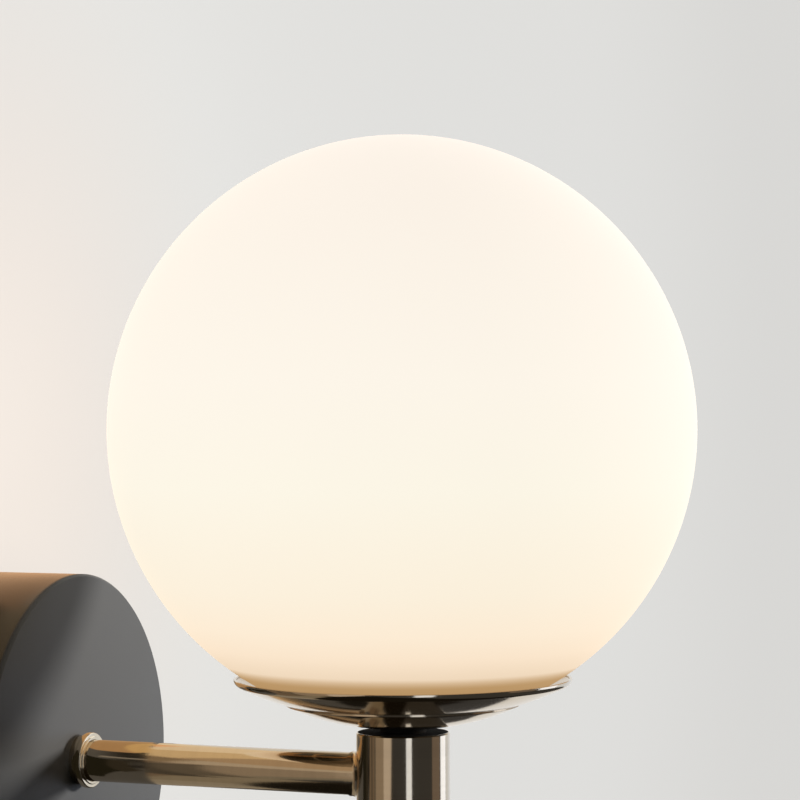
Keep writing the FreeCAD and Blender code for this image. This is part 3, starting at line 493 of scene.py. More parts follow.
@dataclass(frozen=True)
class TurnedMetal:
    """Polished metal with fine rings round the axis that it was turned on.

    Attributes:
        ring_depth: How much the rings show in the bump.
        grain_share: How much the rings and the grain move the roughness.
        painted_shade_gap: Radius, lower and upper end of a ring of painted shade in the gap between the
            column's top and the pan, neck ring included, in millimetres; it is made dark, matt and not
            metallic.
    """

    name: str
    colour: Colour
    axis: Axis
    roughness: float = 0.10
    pitch: float = 2600.0
    ring_depth: float = 0.03
    grain: float = 2200.0
    grain_share: float = 0.04
    tone_share: float = 0.16
    painted_shade_gap: tuple[float, float, float] | None = None

    def build(self) -> bpy.types.Material:
        """Make the material.

        Returns:
            The new material.
        """
        material, g, shader, place = blank(self.name)
        axis = tuple(self.axis.direction)
        centred = g.vector("SUBTRACT", place, tuple(self.axis.centre))
        radial = g.vector("MULTIPLY", centred, tuple(1.0 - abs(part) for part in axis))
        along = g.vector("DOT_PRODUCT", centred, axis)
        rings = g.group(effects.turned, {"Radial": radial, "Along": along, "Pitch": self.pitch})
        grain = g.group(effects.speckle, {"Vector": place, "Scale": self.grain})
        skin = g.group(effects.tone, {"Colour": (*self.colour, 1.0), "Mask": rings["Broad"],
                                      "Share": self.tone_share})["Colour"]
        rough, metallic = self.roughness, 1.0
        # Painted shade: the faces in the gap between the column's top and the pan are made dark, matt and
        # not metallic.
        if self.painted_shade_gap:
            reach, low, high = (size * MM for size in self.painted_shade_gap)
            between = g.math("MULTIPLY", g.math("GREATER_THAN", along, low),
                             g.math("LESS_THAN", along, high))
            gap_shade = g.math("MULTIPLY", g.math("LESS_THAN", g.vector("LENGTH", radial), reach), between)
            skin = g.group(effects.tone, {"Colour": skin, "Mask": g.math("SUBTRACT", 0.5, gap_shade),
                                          "Share": 0.98})["Colour"]
            rough = g.math("ADD", g.math("MULTIPLY", gap_shade, 0.8), self.roughness)
            metallic = g.math("SUBTRACT", 1.0, gap_shade)
        wear = g.group(effects.wear, {"Base": rough, "Fine": rings["Rings"], "Broad": grain["Grain"],
                                      "Share": self.grain_share})
        height = g.math("ADD", rings["Rings"], g.math("MULTIPLY", grain["Grain"], 0.5))
        g.feed(shader, {"Base Color": skin, "Metallic": metallic, "Roughness": wear["Roughness"],
                        "Normal": g.bump(height, self.ring_depth)})
        return material


@dataclass(frozen=True)
class Grained:
    """A surface with fine grain and soft clouds: paint, sheet metal, plastic, porcelain or rubber.

    Attributes:
        scale: Fineness of the grain.
        colour_share: How much the clouds move the colour.
        rough_share: How much grain and clouds move the roughness.
        side: Where along Y the piece's coated side starts, in millimetres, and the side's colour.
    """

    name: str
    colour: Colour
    roughness: float
    metallic: float = 0.0
    scale: float = 1500.0
    colour_share: float = 0.08
    rough_share: float = 0.08
    bump: float = 0.05
    specular: float = 0.5
    side: tuple[float, Colour] | None = None
    side_blend: float = 1.2
    coat: float = 0.0
    coat_roughness: float = 0.1

    def build(self) -> bpy.types.Material:
        """Make the material.

        Returns:
            The new material.
        """
        material, g, shader, place = blank(self.name)
        grain = g.group(effects.speckle, {"Vector": place, "Scale": self.scale})
        skin = g.group(effects.tone, {"Colour": (*self.colour, 1.0), "Mask": grain["Clouds"],
                                      "Share": self.colour_share})["Colour"]
        coat = self.coat
        # The side colour is used on the canopy only, where it is painted shade and painted warm reflection;
        # the coat is the side's gloss.
        if self.side:
            start, colour = self.side
            depth = g.add("ShaderNodeSeparateXYZ", {0: place}).outputs["Y"]
            coat = g.add("ShaderNodeMapRange", {0: depth, 1: start * MM, 2: (start + self.side_blend) * MM},
                         interpolation_type="SMOOTHSTEP").outputs[0]
            skin = g.add("ShaderNodeMix", {0: coat, 6: skin, 7: (*colour, 1.0)}, data_type="RGBA").outputs[2]
        wear = g.group(effects.wear, {"Base": self.roughness, "Fine": grain["Grain"],
                                      "Broad": grain["Clouds"], "Share": self.rough_share})
        g.feed(shader, {"Base Color": skin, "Metallic": self.metallic, "Roughness": wear["Roughness"],
                        "Normal": g.bump(grain["Grain"], self.bump), "Specular IOR Level": self.specular,
                        "Coat Weight": coat, "Coat Roughness": self.coat_roughness})
        return material


@dataclass(frozen=True)
class LitOpal:
    """Satin opal glass lit from inside: almost even, warmer and dimmer towards the dish, where painted shade
    stands for the rim's shade on the glass.

    Attributes:
        rows: Height in millimetres, and the glow's colour there; the dark rows low down are painted shade
            along the dish's rim.
    """

    name: str = "opal_glass"
    strength: float = 0.975
    unlit: Colour = (0.05, 0.047, 0.042)
    roughness: float = 0.6
    specular: float = 0.12
    # The low, dark rows are painted shade along the dish's rim.
    rows: tuple[tuple[float, Colour], ...] = (
        (26.7, (0.40, 0.24, 0.10)),
        (35.2, (0.50, 0.31, 0.14)),
        (37.0, (0.67, 0.475, 0.285)),
        (38.6, (0.88, 0.70, 0.51)),
        (45.7, (0.975, 0.80, 0.61)),
        (53.5, (0.995, 0.85, 0.67)),
        (67.0, (0.985, 0.885, 0.725)),
        (100.0, (0.985, 0.93, 0.80)),
        (135.0, (0.99, 0.925, 0.82)),
        (218.0, (0.965, 0.88, 0.79)),
    )

    def build(self) -> bpy.types.Material:
        """Make the material.

        Returns:
            The new material.
        """
        material, g, shader, place = blank(self.name)
        height = g.add("ShaderNodeSeparateXYZ", {0: place}).outputs["Z"]
        low, high = self.rows[0][0] * MM, self.rows[-1][0] * MM
        share = g.add("ShaderNodeMapRange", {0: height, 1: low, 2: high}).outputs[0]
        light = g.ramp(share, [((along * MM - low) / (high - low), colour) for along, colour in self.rows])
        haze = g.group(effects.speckle, {"Vector": place, "Scale": 260.0})
        glow = g.group(effects.tone, {"Colour": light, "Mask": haze["Clouds"], "Share": 0.02})
        wear = g.group(effects.wear, {"Base": self.roughness, "Fine": haze["Grain"], "Broad": haze["Clouds"],
                                      "Share": 0.05})
        g.feed(shader, {"Base Color": (*self.unlit, 1.0), "Roughness": wear["Roughness"],
                        "Specular IOR Level": self.specular, "Emission Color": glow["Colour"],
                        "Emission Strength": self.strength})
        return material


@dataclass(frozen=True)
class Finishes:
    """Every finish on the lamp, built once."""

    bronze: Colour = (0.60, 0.50, 0.37)

    def build(self) -> dict[str, bpy.types.Material]:
        """Make all the materials.

        Returns:
            Finish name to material.
        """
        made = [
            # The column's finish carries painted shade in the gap under the pan.
            TurnedMetal("bronze_column", self.bronze, Axis.COLUMN, painted_shade_gap=(15.4, 15.05, 17.45)),
            TurnedMetal("bronze_arm", self.bronze, Axis.ARM),
            # The flange's bronze is a lighter copy of the arm's: a painted highlight on the ring.
            TurnedMetal("bronze_flange", (0.68, 0.57, 0.42), Axis.ARM, roughness=0.14),
            # The canopy's side gets a coat for its gloss and a darker, browner colour than the face: the
            # colour is painted shade and painted warm reflection.
            Grained("canopy_paint", (0.080, 0.079, 0.077), 0.40, colour_share=0.06,
                    rough_share=0.10, bump=0.04, specular=0.10, side=(-36.9, (0.026, 0.013, 0.005)),
                    coat_roughness=0.24),
            Grained("zinc_steel", (0.62, 0.62, 0.60), 0.34, metallic=1.0, scale=700.0, colour_share=0.25,
                    rough_share=0.25, bump=0.04),
            Grained("spring_steel", (0.50, 0.50, 0.50), 0.24, metallic=1.0, scale=900.0, colour_share=0.15),
            Grained("brass", (0.72, 0.52, 0.22), 0.30, metallic=1.0, scale=800.0, colour_share=0.2),
            Grained("earth_green", (0.03, 0.22, 0.05), 0.42, scale=600.0),
            Grained("lead_green", (0.03, 0.22, 0.05), 0.42, scale=600.0),
            Grained("lead_black", (0.018, 0.018, 0.018), 0.42, scale=600.0),
            Grained("lead_white", (0.80, 0.79, 0.76), 0.42, scale=600.0),
            Grained("connector_plastic", (0.80, 0.30, 0.05), 0.38, scale=500.0, bump=0.08),
            Grained("silicone", (0.78, 0.77, 0.73), 0.55, scale=500.0),
            Grained("socket_porcelain", (0.56, 0.55, 0.52), 0.16, scale=260.0, coat=0.6, coat_roughness=0.05,
                    bump=0.03),
            Grained("bulb_black_glass", (0.012, 0.012, 0.012), 0.08, scale=300.0, coat=0.5),
            Grained("bulb_nickel", (0.66, 0.64, 0.60), 0.22, metallic=1.0, scale=900.0),
            Grained("bulb_frosted", (0.58, 0.57, 0.545), 0.5, scale=260.0, bump=0.03),
            LitOpal(),
        ]
        return {finish.name: finish.build() for finish in made}


def paint(piece: bpy.types.Object, material: bpy.types.Material) -> None:
    """Give a whole piece one material.

    Args:
        piece: The piece.
        material: The material.
    """
    if piece.data.materials:
        for index in range(len(piece.data.materials)):
            piece.data.materials[index] = material
    else:
        piece.data.materials.append(material)


# Sub-assemblies


@dataclass
class SubAssembly:
    """One group of pieces of the lamp: what it builds, and what it dresses of the CAD.

    Attributes:
        finishes: Finish name to material.
        body: The CAD body that its new pieces ride on.
        carried: CAD nodes that stay, each with its finish and the width of its eased edges in millimetres.
    """

    finishes: dict[str, bpy.types.Material]
    body: str = "root"
    carried: Carried = ()

    def build(self) -> None:
        """Dress the CAD nodes that stay."""
        for node, finish, ease in self.carried:
            self.keep(node, finish, ease)

    def add(self, piece: bpy.types.Object, finish: str, slot: str, *nodes: str) -> None:
        """Hand a new piece over: give it its material and body, and hide the CAD nodes that it stands for.

        Args:
            piece: The new piece.
            finish: The finish's name.
            slot: The record's material slot; not used.
            *nodes: CAD nodes that it stands for.
        """
        paint(piece, self.finishes[finish])
        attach(piece, self.body)
        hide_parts(*nodes)
        log.info("%s: %d faces, %s", piece.name, len(piece.data.polygons), finish)

    def keep(self, node: str, finish: str, bevel: float) -> None:
        """Carry a CAD node over with a finish, and with its edges eased where wanted.

        Args:
            node: The node's name.
            finish: The finish's name.
            bevel: Width of the eased edges in millimetres, 0 for none.
        """
        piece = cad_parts[node]
        paint(piece, self.finishes[finish])
        if bevel:
            ease = piece.modifiers.new("eased edges", "BEVEL")
            ease.width = bevel * MM
            ease.segments = 2
            ease.limit_method = "ANGLE"
            ease.angle_limit = math.radians(35.0)
            ease.harden_normals = True
        log.info("%s carried over, %s", node, finish)


@dataclass
class Globe(SubAssembly):
    """The opal glass globe."""

    body: str = "globe_body"
    radius: float = 100.0
    wall: float = 3.0
    seat: float = 41.0
    mouth: float = 38.9
    lip_z: float = 26.7
    lip_ease: float = 0.35

    def build(self) -> None:
        """Turn the hollow ball, with its ground lip eased on both edges."""
        seat, ease = self.seat + 0.1, self.lip_ease
        inner = self.radius - self.wall
        centre = self.lip_z + math.sqrt(self.radius ** 2 - self.seat ** 2)
        low = centre - math.sqrt(self.radius ** 2 - seat ** 2)
        top = centre - math.sqrt(inner ** 2 - self.mouth ** 2)
        outline = Outline().to(0.0, centre + self.radius)
        outline.arc(self.radius, centre, -self.radius, 60).arc(seat, low, -self.radius, 48)
        outline.arc(self.seat - ease, self.lip_z, -ease, 3)
        outline.to(self.mouth + ease, self.lip_z).arc(self.mouth, self.lip_z + ease, -ease, 3)
        outline.to(self.mouth, top).arc(inner, centre, inner, 40).arc(0.0, centre + inner, inner, 48)
        self.add(lathe("globe_glass", outline, Axis.COLUMN, FINE_ROUND, closed=False, sharp=50.0),
                 "opal_glass", "opal_glass", "globe")


@dataclass
class Dish(SubAssembly):
    """Saucer and pan under the globe, and the neck ring that carries them.

    Attributes:
        bore: Radius of the hole that all three share for the column's nipple.
        saucer_bend: Radius of the saucer's slow curve.
        pan_bend: Radius of the pan's slow curve.
    """

    bore: float = 5.05
    foot_z: float = 17.4
    step_z: float = 25.1
    floor_z: float = 25.9
    rim_z: float = 33.48
    step: float = 40.7
    rim: float = 57.5
    rim_wall: float = 0.9
    rim_ease: float = 0.2
    saucer_bend: float = 95.0
    pan_foot: float = 15.3
    pan_edge: float = 39.75
    pan_wall: float = 1.2
    pan_bend: float = 82.0
    neck: float = 7.8
    neck_z: float = 15.1

    def build(self) -> None:
        """Turn the saucer, the pan and the neck ring."""
        self._turn("saucer", self._saucer(), FINE_ROUND, 25.0, "dish_saucer")
        self._turn("pan", self._pan(), FINE_ROUND, 25.0, "dish_pan")
        self._turn("neck_ring", self._neck(), 96, CRISP, "neck_spacer")

    def _turn(self, name: str, outline: Outline, steps: int, sharp: float, node: str) -> None:
        """Turn one piece on the column's axis, and hand it over for its CAD node."""
        piece = lathe(name, outline, Axis.COLUMN, steps, sharp=sharp)
        self.add(piece, "bronze_column", "bronze_nickel", node)

    def _saucer(self) -> Outline:
        """Draw the spun saucer, whose rim turns up round the glass.

        Returns:
            Its profile.
        """
        bend_z = self.rim_z - 0.7
        turn_z = bend_z - 1.7
        inside, ease = self.rim - self.rim_wall, self.rim_ease
        saucer = Outline().to(self.bore, self.step_z).to(self.step - 0.25, self.step_z)
        saucer.arc(self.step, self.step_z + 0.1, 0.4, 3)
        saucer.arc(self.rim - 1.6, turn_z, self.saucer_bend, 18).arc(self.rim, bend_z, 2.6, 8)
        saucer.to(self.rim, self.rim_z - ease).arc(self.rim - ease, self.rim_z, ease, 4)
        saucer.to(inside + ease, self.rim_z).arc(inside, self.rim_z - ease, ease, 4)
        saucer.to(inside, bend_z).to(self.rim - 2.0, turn_z + 0.9)
        return saucer.arc(self.step + 0.5, self.floor_z, -self.saucer_bend, 16).to(self.bore, self.floor_z)

    def _pan(self) -> Outline:
        """Draw the pan, set back under the saucer's step by a shadow line.

        Returns:
            Its profile.
        """
        foot, edge = self.pan_foot, self.pan_edge
        edge_z, floor_z = self.step_z - 0.6, self.foot_z + self.pan_wall
        pan = Outline().to(self.bore, self.foot_z).to(foot - 0.25, self.foot_z)
        pan.arc(foot, self.foot_z + 0.08, 0.3, 3)
        pan.arc(edge - 0.05, edge_z - 0.12, self.pan_bend, 24).arc(edge, edge_z, 0.1, 3)
        pan.to(edge - 1.15, edge_z).to(edge - 1.15, self.step_z).to(edge - 1.15 - self.pan_wall, self.step_z)
        return pan.arc(foot, floor_z, -self.pan_bend, 20).to(self.bore, floor_z)

    def _neck(self) -> Outline:
        """Draw the neck ring.

        Returns:
            Its profile.
        """
        low, high, ease = self.neck_z, self.foot_z, 0.1
        neck = Outline().to(self.bore, low).to(self.neck - ease, low).arc(self.neck, low + ease, ease, 2)
        return neck.to(self.neck, high - ease).arc(self.neck - ease, high, ease, 2).to(self.bore, high)


@dataclass
class Column(SubAssembly):
    """The upright column with its saddle boss, its cap and its nipple."""

    carried: Carried = (("holder_body", "bronze_column", 0.0), ("holder_cap", "bronze_column", 0.1),
                        ("column_nipple", "brass", 0.0))


@dataclass
class Arm(SubAssembly):
    """Arm tube, its stepped flange, and what clamps them to the canopy.

    Attributes:
        ring_reach: How far the flange's wide ring stands out from the tube.
        step_reach: How far its upper step stands out.
        undercut: How far its foot is set back under the ring.
        foot_depth: From the canopy's face to the ring.
        shelf_depth: From the face to the step.
        top_depth: From the face to the flange's end.
    """

    face_y: float = -38.0
    end_y: float = -149.9
    radius: float = 7.35
    bore: float = 6.15
    ring_reach: float = 2.45
    step_reach: float = 1.05
    undercut: float = 1.1
    foot_depth: float = 2.7
    shelf_depth: float = 5.1
    top_depth: float = 5.5
    carried: Carried = (("arm_plug", "brass", 0.0), ("arm_nipple", "brass", 0.2),
                        ("arm_washer", "zinc_steel", 0.1), ("arm_nut", "brass", 0.3))

    def build(self) -> None:
        """Turn the tube and the flange, and dress the clamping parts."""
        tube = Outline().to(self.bore, self.face_y).to(self.radius, self.face_y)
        tube.to(self.radius, self.end_y).to(self.bore, self.end_y)
        self.add(lathe("arm_pipe", tube, Axis.ARM, 128), "bronze_arm", "bronze_nickel", "arm_tube")

        ring, step = self.radius + self.ring_reach, self.radius + self.step_reach
        foot, shelf = self.face_y - self.foot_depth, self.face_y - self.shelf_depth
        top, bore, neck = self.face_y - self.top_depth, self.radius + 0.05, ring - self.undercut
        flange = Outline().to(bore, self.face_y).to(neck, self.face_y)
        flange.to(neck, foot).to(ring - 0.5, foot).arc(ring, foot - 0.5, -0.5, 5)
        flange.to(ring, shelf + 0.4).arc(ring - 0.4, shelf, -0.4, 5).to(step + 0.1, shelf)
        flange.to(step, shelf - 0.1).to(step, top + 0.2).arc(step - 0.2, top, -0.2, 4)
        flange.to(bore + 0.1, top).to(bore, top + 0.1)
        self.add(lathe("arm_collar", flange, Axis.ARM, 128), "bronze_flange", "bronze_nickel", "arm_flange")
        super().build()


@dataclass
class Canopy(SubAssembly):
    """Wall canopy, its two side screws, and the crossbar with its earth screw and eyelet.

    Attributes:
        screw_tip: From the canopy's axis to a side screw's tip.
        thread_start: From the axis to the first turn of its thread.
        head_seat: From the axis to the underside of its head.
        slot_floor: From the axis to the floor of its slot.
        slot_end: From the axis to where the slot's cutter ends, outside the head.
        slot_rise: Half the cutter's height.
    """

    radius: float = 66.0
    depth: float = 38.0
    wall: float = 1.2
    bevel: float = 0.9
    hole: float = 5.05
    screw_y: float = -8.0
    screw_hole: float = 2.2
    screw_tip: float = 59.7
    tip: float = 1.5
    thread_start: float = 60.0
    thread_turns: int = 9
    thread_root: float = 1.72
    thread_crest: float = 2.0
    thread_rise: float = 0.33
    head_seat: float = 66.0
    head: float = 3.6
    brim: float = 0.8
    dome: float = 1.6
    dome_flat: float = 0.2
    slot_floor: float = 67.3
    slot_half: float = 0.5
    slot_end: float = 69.0
    slot_rise: float = 4.0
    carried: Carried = (("crossbar", "zinc_steel", 0.15), ("earth_screw", "earth_green", 0.15),
                        ("earth_eyelet", "brass", 0.1), ("earth_lead", "lead_green", 0.0))

    def build(self) -> None:
        """Turn the canopy, cut its screw holes, and make the slotted screws."""
        face, inner = -self.depth, -self.depth + self.wall
        edge, inside = self.radius - self.bevel, self.radius - self.wall
        shell = Outline().to(self.hole, face).to(edge - 0.15, face).arc(edge + 0.1, face + 0.1, 0.6, 3)
        shell.to(self.radius - 0.1, face + self.bevel - 0.1)
        shell.arc(self.radius, face + self.bevel + 0.15, 0.6, 3)
        shell.to(self.radius, -0.15).arc(self.radius - 0.15, 0.0, 0.15, 3).to(inside, 0.0)
        shell.to(inside, inner).to(self.hole, inner)
        piece = lathe("canopy_shell", shell, Axis.ARM, FINE_ROUND, sharp=28.0)
        far = self.radius + 4.0
        drill = Outline().to(0.0, -far).to(self.screw_hole, -far).to(self.screw_hole, far).to(0.0, far)
        work = bmesh.new()
        self._spin_across(work, drill, 32)
        carve(piece, [finish_mesh("cutter", work)])
        self.add(piece, "canopy_paint", "canopy_paint", "canopy")
        self._screws()
        super().build()

    def _spin_across(self, work: bmesh.types.BMesh, outline: Outline, steps: int) -> None:
        """Turn an open outline on the side screws' axis, and add it to a mesh."""
        spin(work, outline, Axis.ACROSS, steps, closed=False, offset=Vector((0.0, self.screw_y * MM, 0.0)))

    def _screws(self) -> None:
        """Two slotted round-headed screws, with their threads."""
        work = bmesh.new()
        seat, crown = self.head_seat, self.head_seat + self.brim
        for side in (1.0, -1.0):
            screw = Outline().to(0.0, side * self.screw_tip).to(self.tip, side * self.screw_tip)
            for step in range(self.thread_turns):
                along = self.thread_start + step * (seat - self.thread_start) / self.thread_turns
                screw.to(self.thread_root, side * along)
                screw.to(self.thread_crest, side * (along + self.thread_rise))
            screw.to(self.thread_crest, side * seat).to(self.head, side * seat).to(self.head, side * crown)
            for step in range(1, 7):
                turn = math.radians(15.0 * step)
                screw.to(self.head * math.cos(turn) + self.dome_flat * math.sin(turn),
                         side * (crown + self.dome * math.sin(turn)))
            screw.to(0.0, side * (crown + self.dome))
            self._spin_across(work, screw, 48)
        piece = finish_mesh("canopy_side_screws", work)
        slots = []
        for low, high in ((self.slot_floor, self.slot_end), (-self.slot_end, -self.slot_floor)):
            slots.append(block(Vector((low, self.screw_y - self.slot_half, -self.slot_rise)) * MM,
                               Vector((high, self.screw_y + self.slot_half, self.slot_rise)) * MM))
        carve(piece, slots)
        self.add(piece, "canopy_paint", "canopy_paint", "canopy_screws")


@dataclass
class Wiring(SubAssembly):
    """Supply leads and their screw-on connectors.

    Attributes:
        mouth: Height of a connector's open end above or below the canopy's middle.
        length: From its open end to its tip.
        skirt: Radius of its skirt.
        taper: How much narrower it is at the tip.
        lean: How far its axis lies from the canopy's middle, sideways.
        depth: Its axis' place along Y.
    """

    rib_count: int = 14
    rib_depth: float = 0.35
    mouth: float = 18.0
    length: float = 22.0
    bore: float = 1.15
    skirt: float = 7.0
    skirt_height: float = 4.0
    taper: float = 3.0
    lean: float = 1.25
    depth: float = -13.0
    carried: Carried = (("lead_line", "lead_black", 0.0), ("lead_neutral", "lead_white", 0.0))

    def build(self) -> None:
        """Make the ribbed connectors and dress the leads."""
        super().build()
        work = bmesh.new()
        for side in (1.0, -1.0):
            self._cone(work, side)
        self.add(finish_mesh("ribbed_connectors", work, 35.0), "connector_plastic", "connector_plastic",
                 "wire_connectors")

    def _cone(self, work: bmesh.types.BMesh, side: float) -> None:
        """Add one connector: a skirt, a ribbed taper and a closed tip.

        Args:
            work: The mesh that takes it.
            side: 1 for the upper connector, -1 for the lower.
        """
        steps, ease, tip, top = 112, 0.4, 0.9, self.mouth + self.skirt_height
        rows = [(self.bore, top), (self.bore, self.mouth), (self.skirt - ease, self.mouth),
                (self.skirt, self.mouth + ease), (self.skirt, top)]
        rise = self.length - self.skirt_height - tip
        rows += [(self.skirt - self.taper * share / 10, top + ease + rise * share / 10)
                 for share in range(11)]
        rows += [(self.skirt - self.taper - ease, self.mouth + self.length)]
        rings, ribbed = [], range(5, 15)
        for number, (radius, along) in enumerate(rows):
            depth = self.rib_depth if number in ribbed else 0.0
            points = []
            for step in range(steps):
                turn = math.tau * step / steps
                reach = radius - depth * (0.5 - 0.5 * math.cos(turn * self.rib_count))
                points.append(Vector((side * self.lean + reach * math.cos(turn),
                                      self.depth + reach * math.sin(turn), side * along)))
            rings.append(ring(work, points))
        bridge(work, rings)
        bmesh.ops.edgeloop_fill(work, edges=rings[0] + rings[-1])


@dataclass
class Fitter(SubAssembly):
    """Gasket, cup, leaf springs and nut that hold the glass."""

    carried: Carried = (("globe_gasket", "silicone", 0.1), ("fitter_cup", "zinc_steel", 0.15),
                        ("globe_springs", "spring_steel", 0.08), ("spring_rivets", "brass", 0.15),
                        ("column_washer", "zinc_steel", 0.1), ("column_nut", "brass", 0.3))


@dataclass
class Socket(SubAssembly):
    """Lamp socket on the column's nipple."""

    carried: Carried = (("socket_body", "socket_porcelain", 0.3), ("socket_shell", "brass", 0.0),
                        ("socket_contact", "brass", 0.05), ("socket_rivets", "brass", 0.05))


@dataclass
class Bulb(SubAssembly):
    """Frosted bulb with its rolled screw cap."""

    body: str = "bulb_body"
    cap_low: float = 55.3
    cap_high: float = 74.3
    cap_radius: float = 13.0
    cap_sheet: float = 0.4
    thread_depth: float = 0.55
    thread_pitch: float = 3.6
    carried: Carried = (("bulb_insulator", "bulb_black_glass", 0.15), ("bulb_glass", "bulb_frosted", 0.0))

    def build(self) -> None:
        """Roll the cap's thread, and dress the glass and the insulator."""
        work = bmesh.new()
        outer = self._sheet(work, self.cap_radius)
        inner = self._sheet(work, self.cap_radius - self.cap_sheet)
        bridge(work, outer + inner[::-1] + outer[:1])
        self.add(finish_mesh("bulb_screw_cap", work, 60.0), "bulb_nickel", "bulb_nickel", "bulb_cap")
        super().build()

    def _sheet(self, work: bmesh.types.BMesh, radius: float) -> list[list[bmesh.types.BMEdge]]:
        """Draw one side of the cap's sheet, which follows one screw line.

        Args:
            work: The mesh that takes it.
            radius: Radius of the thread's crest.

        Returns:
            Its rings, from the lower end up.
        """
        low, high, pitch = self.cap_low, self.cap_high, self.thread_pitch
        steps, rows = 96, int((high - low) / pitch * 12)
        rings = []
        for row in range(rows + 1):
            along = low + (high - low) * row / rows
            fade = min(1.0, (along - low) / pitch, (high - along) / pitch)
            points = []
            for step in range(steps):
                turn = math.tau * step / steps
                wave = 0.5 - 0.5 * math.cos(math.tau * (along / pitch) - turn)
                reach = radius - self.thread_depth * wave * fade
                points.append(Vector((reach * math.cos(turn), COLUMN_Y + reach * math.sin(turn), along)))
            rings.append(ring(work, points))
        return rings


# Stage


def heading(azimuth: float, elevation: float) -> Vector:
    a, e = math.radians(azimuth), math.radians(elevation)
    return Vector((math.sin(a) * math.cos(e), -math.cos(a) * math.cos(e), math.sin(e)))


@dataclass
class Studio:
    """Wall, floor, soft lights and the photograph's camera.

    The camera's fields are in millimetres and degrees, the others in metres. A card is a painted reflection:
    a patch of the wall, with its light and shade, as the metal mirrors it, with two opposite corners of a
    rectangle or all its corners as (x, z). A canopy patch is a painted reflection of what the canopy shows
    in the metal, its light and shade included.

    Attributes:
        painted_falloff: Place of each stop from the globe's middle out to painted_falloff_reach, and the
            wall's colour there: painted light and shade for the globe's glow falling off across the wall.
        cards: Name, corners and colour.
        canopy_patches: Name, distance in front of the wall, colour and corners.
        shade_cards: Name, x, reach from the wall, height of the top, and colour of an upright patch of
            painted shade, which the metal mirrors as the shaded wall beside the canopy.
        panels: Name, azimuth, elevation, width, height, strength and colour.
    """

    focal: float = 139.3
    sensor: float = 36.0
    azimuth: float = -67.25
    elevation: float = 0.46
    roll: float = -0.2
    distance: float = 1052.2
    shift_right: float = -0.65
    shift_up: float = 10.07
    target: tuple[float, float, float] = (0.0, -162.5, 117.9)
    wall_y: float = 0.0006
    card_y: float = 0.0003
    painted_falloff_reach: float = 1.05
    painted_falloff: tuple = (
        (0.0286, (0.587, 0.551, 0.526)), (0.219, (0.618, 0.621, 0.615)),
        (0.62, (0.616, 0.619, 0.613)), (1.0, (0.576, 0.577, 0.571)))
    cards: tuple = (
        ("wall_left_foot", ((-0.20, -0.235), (-0.01, -0.13)), (0.28, 0.24, 0.18)),
        ("wall_left_low", ((-0.15, -0.13), (-0.01, 0.05)), (0.20, 0.15, 0.105)),
        ("wall_left_side", ((-0.35, -0.13), (-0.15, 0.05)), (0.33, 0.265, 0.20)),
        ("wall_left_heel", ((-0.35, -0.185), (-0.20, -0.13)), (0.25, 0.22, 0.17)),
        ("wall_left_band", ((-0.35, 0.05), (-0.15, 0.11)), (0.55, 0.46, 0.36)),
        ("wall_left_halo", ((-0.15, 0.05), (0.0, 0.11)), (0.30, 0.22, 0.14)),
        ("wall_left_high", ((-0.35, 0.11), (-0.12, 1.5)), (0.50, 0.36, 0.23)),
        ("wall_left_crown", ((-0.12, 0.11), (0.0, 1.5)), (0.82, 0.62, 0.37)),
        ("wall_left_far", ((-3.2, -0.185), (-0.35, 1.5)), (0.62, 0.54, 0.46)),
        ("wall_right_low", ((-0.01, -0.23), (0.15, 0.05)), (0.33, 0.29, 0.23)),
        ("wall_right_high", ((0.0, 0.05), (0.15, 1.5)), (1.02, 0.85, 0.62)),
        ("wall_right_dim", ((0.15, -0.30), (0.62, -0.30), (0.15, -0.08)), (0.08, 0.074, 0.065)),
        ("wall_right_far", ((0.15, -0.08), (0.62, -0.30), (4.0, -3.1), (4.0, 1.5), (0.15, 1.5)),
         (0.87, 0.86, 0.84)))
    canopy_patches: tuple = (
        ("canopy_glow", 0.0383, (0.55, 0.34, 0.17),
         ((0.0105, 0.0), (0.062, 0.0), (0.046, 0.046), (0.0, 0.065), (-0.026, 0.060), (-0.029, 0.046),
          (-0.0125, 0.022))),
        ("canopy_edge_glow", 0.0386, (0.78, 0.52, 0.235),
         ((-0.029, 0.047), (0.046, 0.038), (0.040, 0.052), (0.0, 0.0655), (-0.026, 0.060))),
        ("canopy_streak", 0.0383, (0.28, 0.26, 0.23),
         ((-0.024, 0.0125), (-0.024, 0.0165), (-0.058, 0.0315), (-0.058, 0.0245))),
        ("canopy_shade", 0.0383, (0.02, 0.018, 0.011),
         ((-0.034, -0.028), (-0.006, -0.028), (-0.012, 0.0095), (-0.034, 0.0105))),
        ("canopy_dusk", 0.0383, (0.040, 0.034, 0.024),
         ((-0.052, -0.034), (-0.034, -0.034), (-0.034, 0.011), (-0.052, 0.014))),
        ("canopy_side_glow", -0.0001, (1.08, 0.62, 0.33),
         ((-0.015, 0.0665), (0.10, 0.0665), (0.10, 0.132), (-0.015, 0.132))))
    shade_cards: tuple = (
        ("heel_near", -0.100, 0.023, 0.02, (0.085, 0.072, 0.056)),
        ("heel_far", -0.135, 0.027, 0.03, (0.14, 0.117, 0.09)))
    shade_card_foot: float = -0.13
    panel_distance: float = 1.7
    panels: tuple = (
        ("strip_panel", -53.0, 2.0, 0.40, 2.2, 1.25, (0.90, 1.0, 1.18)),
        ("dim_panel", 21.0, 4.0, 0.78, 1.3, 0.2, (1.0, 0.80, 0.65)),
        ("broad_panel", 48.5, 6.0, 0.70, 1.3, 1.55, (0.98, 1.10, 1.35)),
        ("side_panel", 77.5, 4.0, 1.06, 1.3, 0.9, (0.95, 1.02, 1.12)),
        ("high_panel", 82.0, 34.0, 0.9, 0.8, 1.6, (0.98, 1.0, 1.0)))

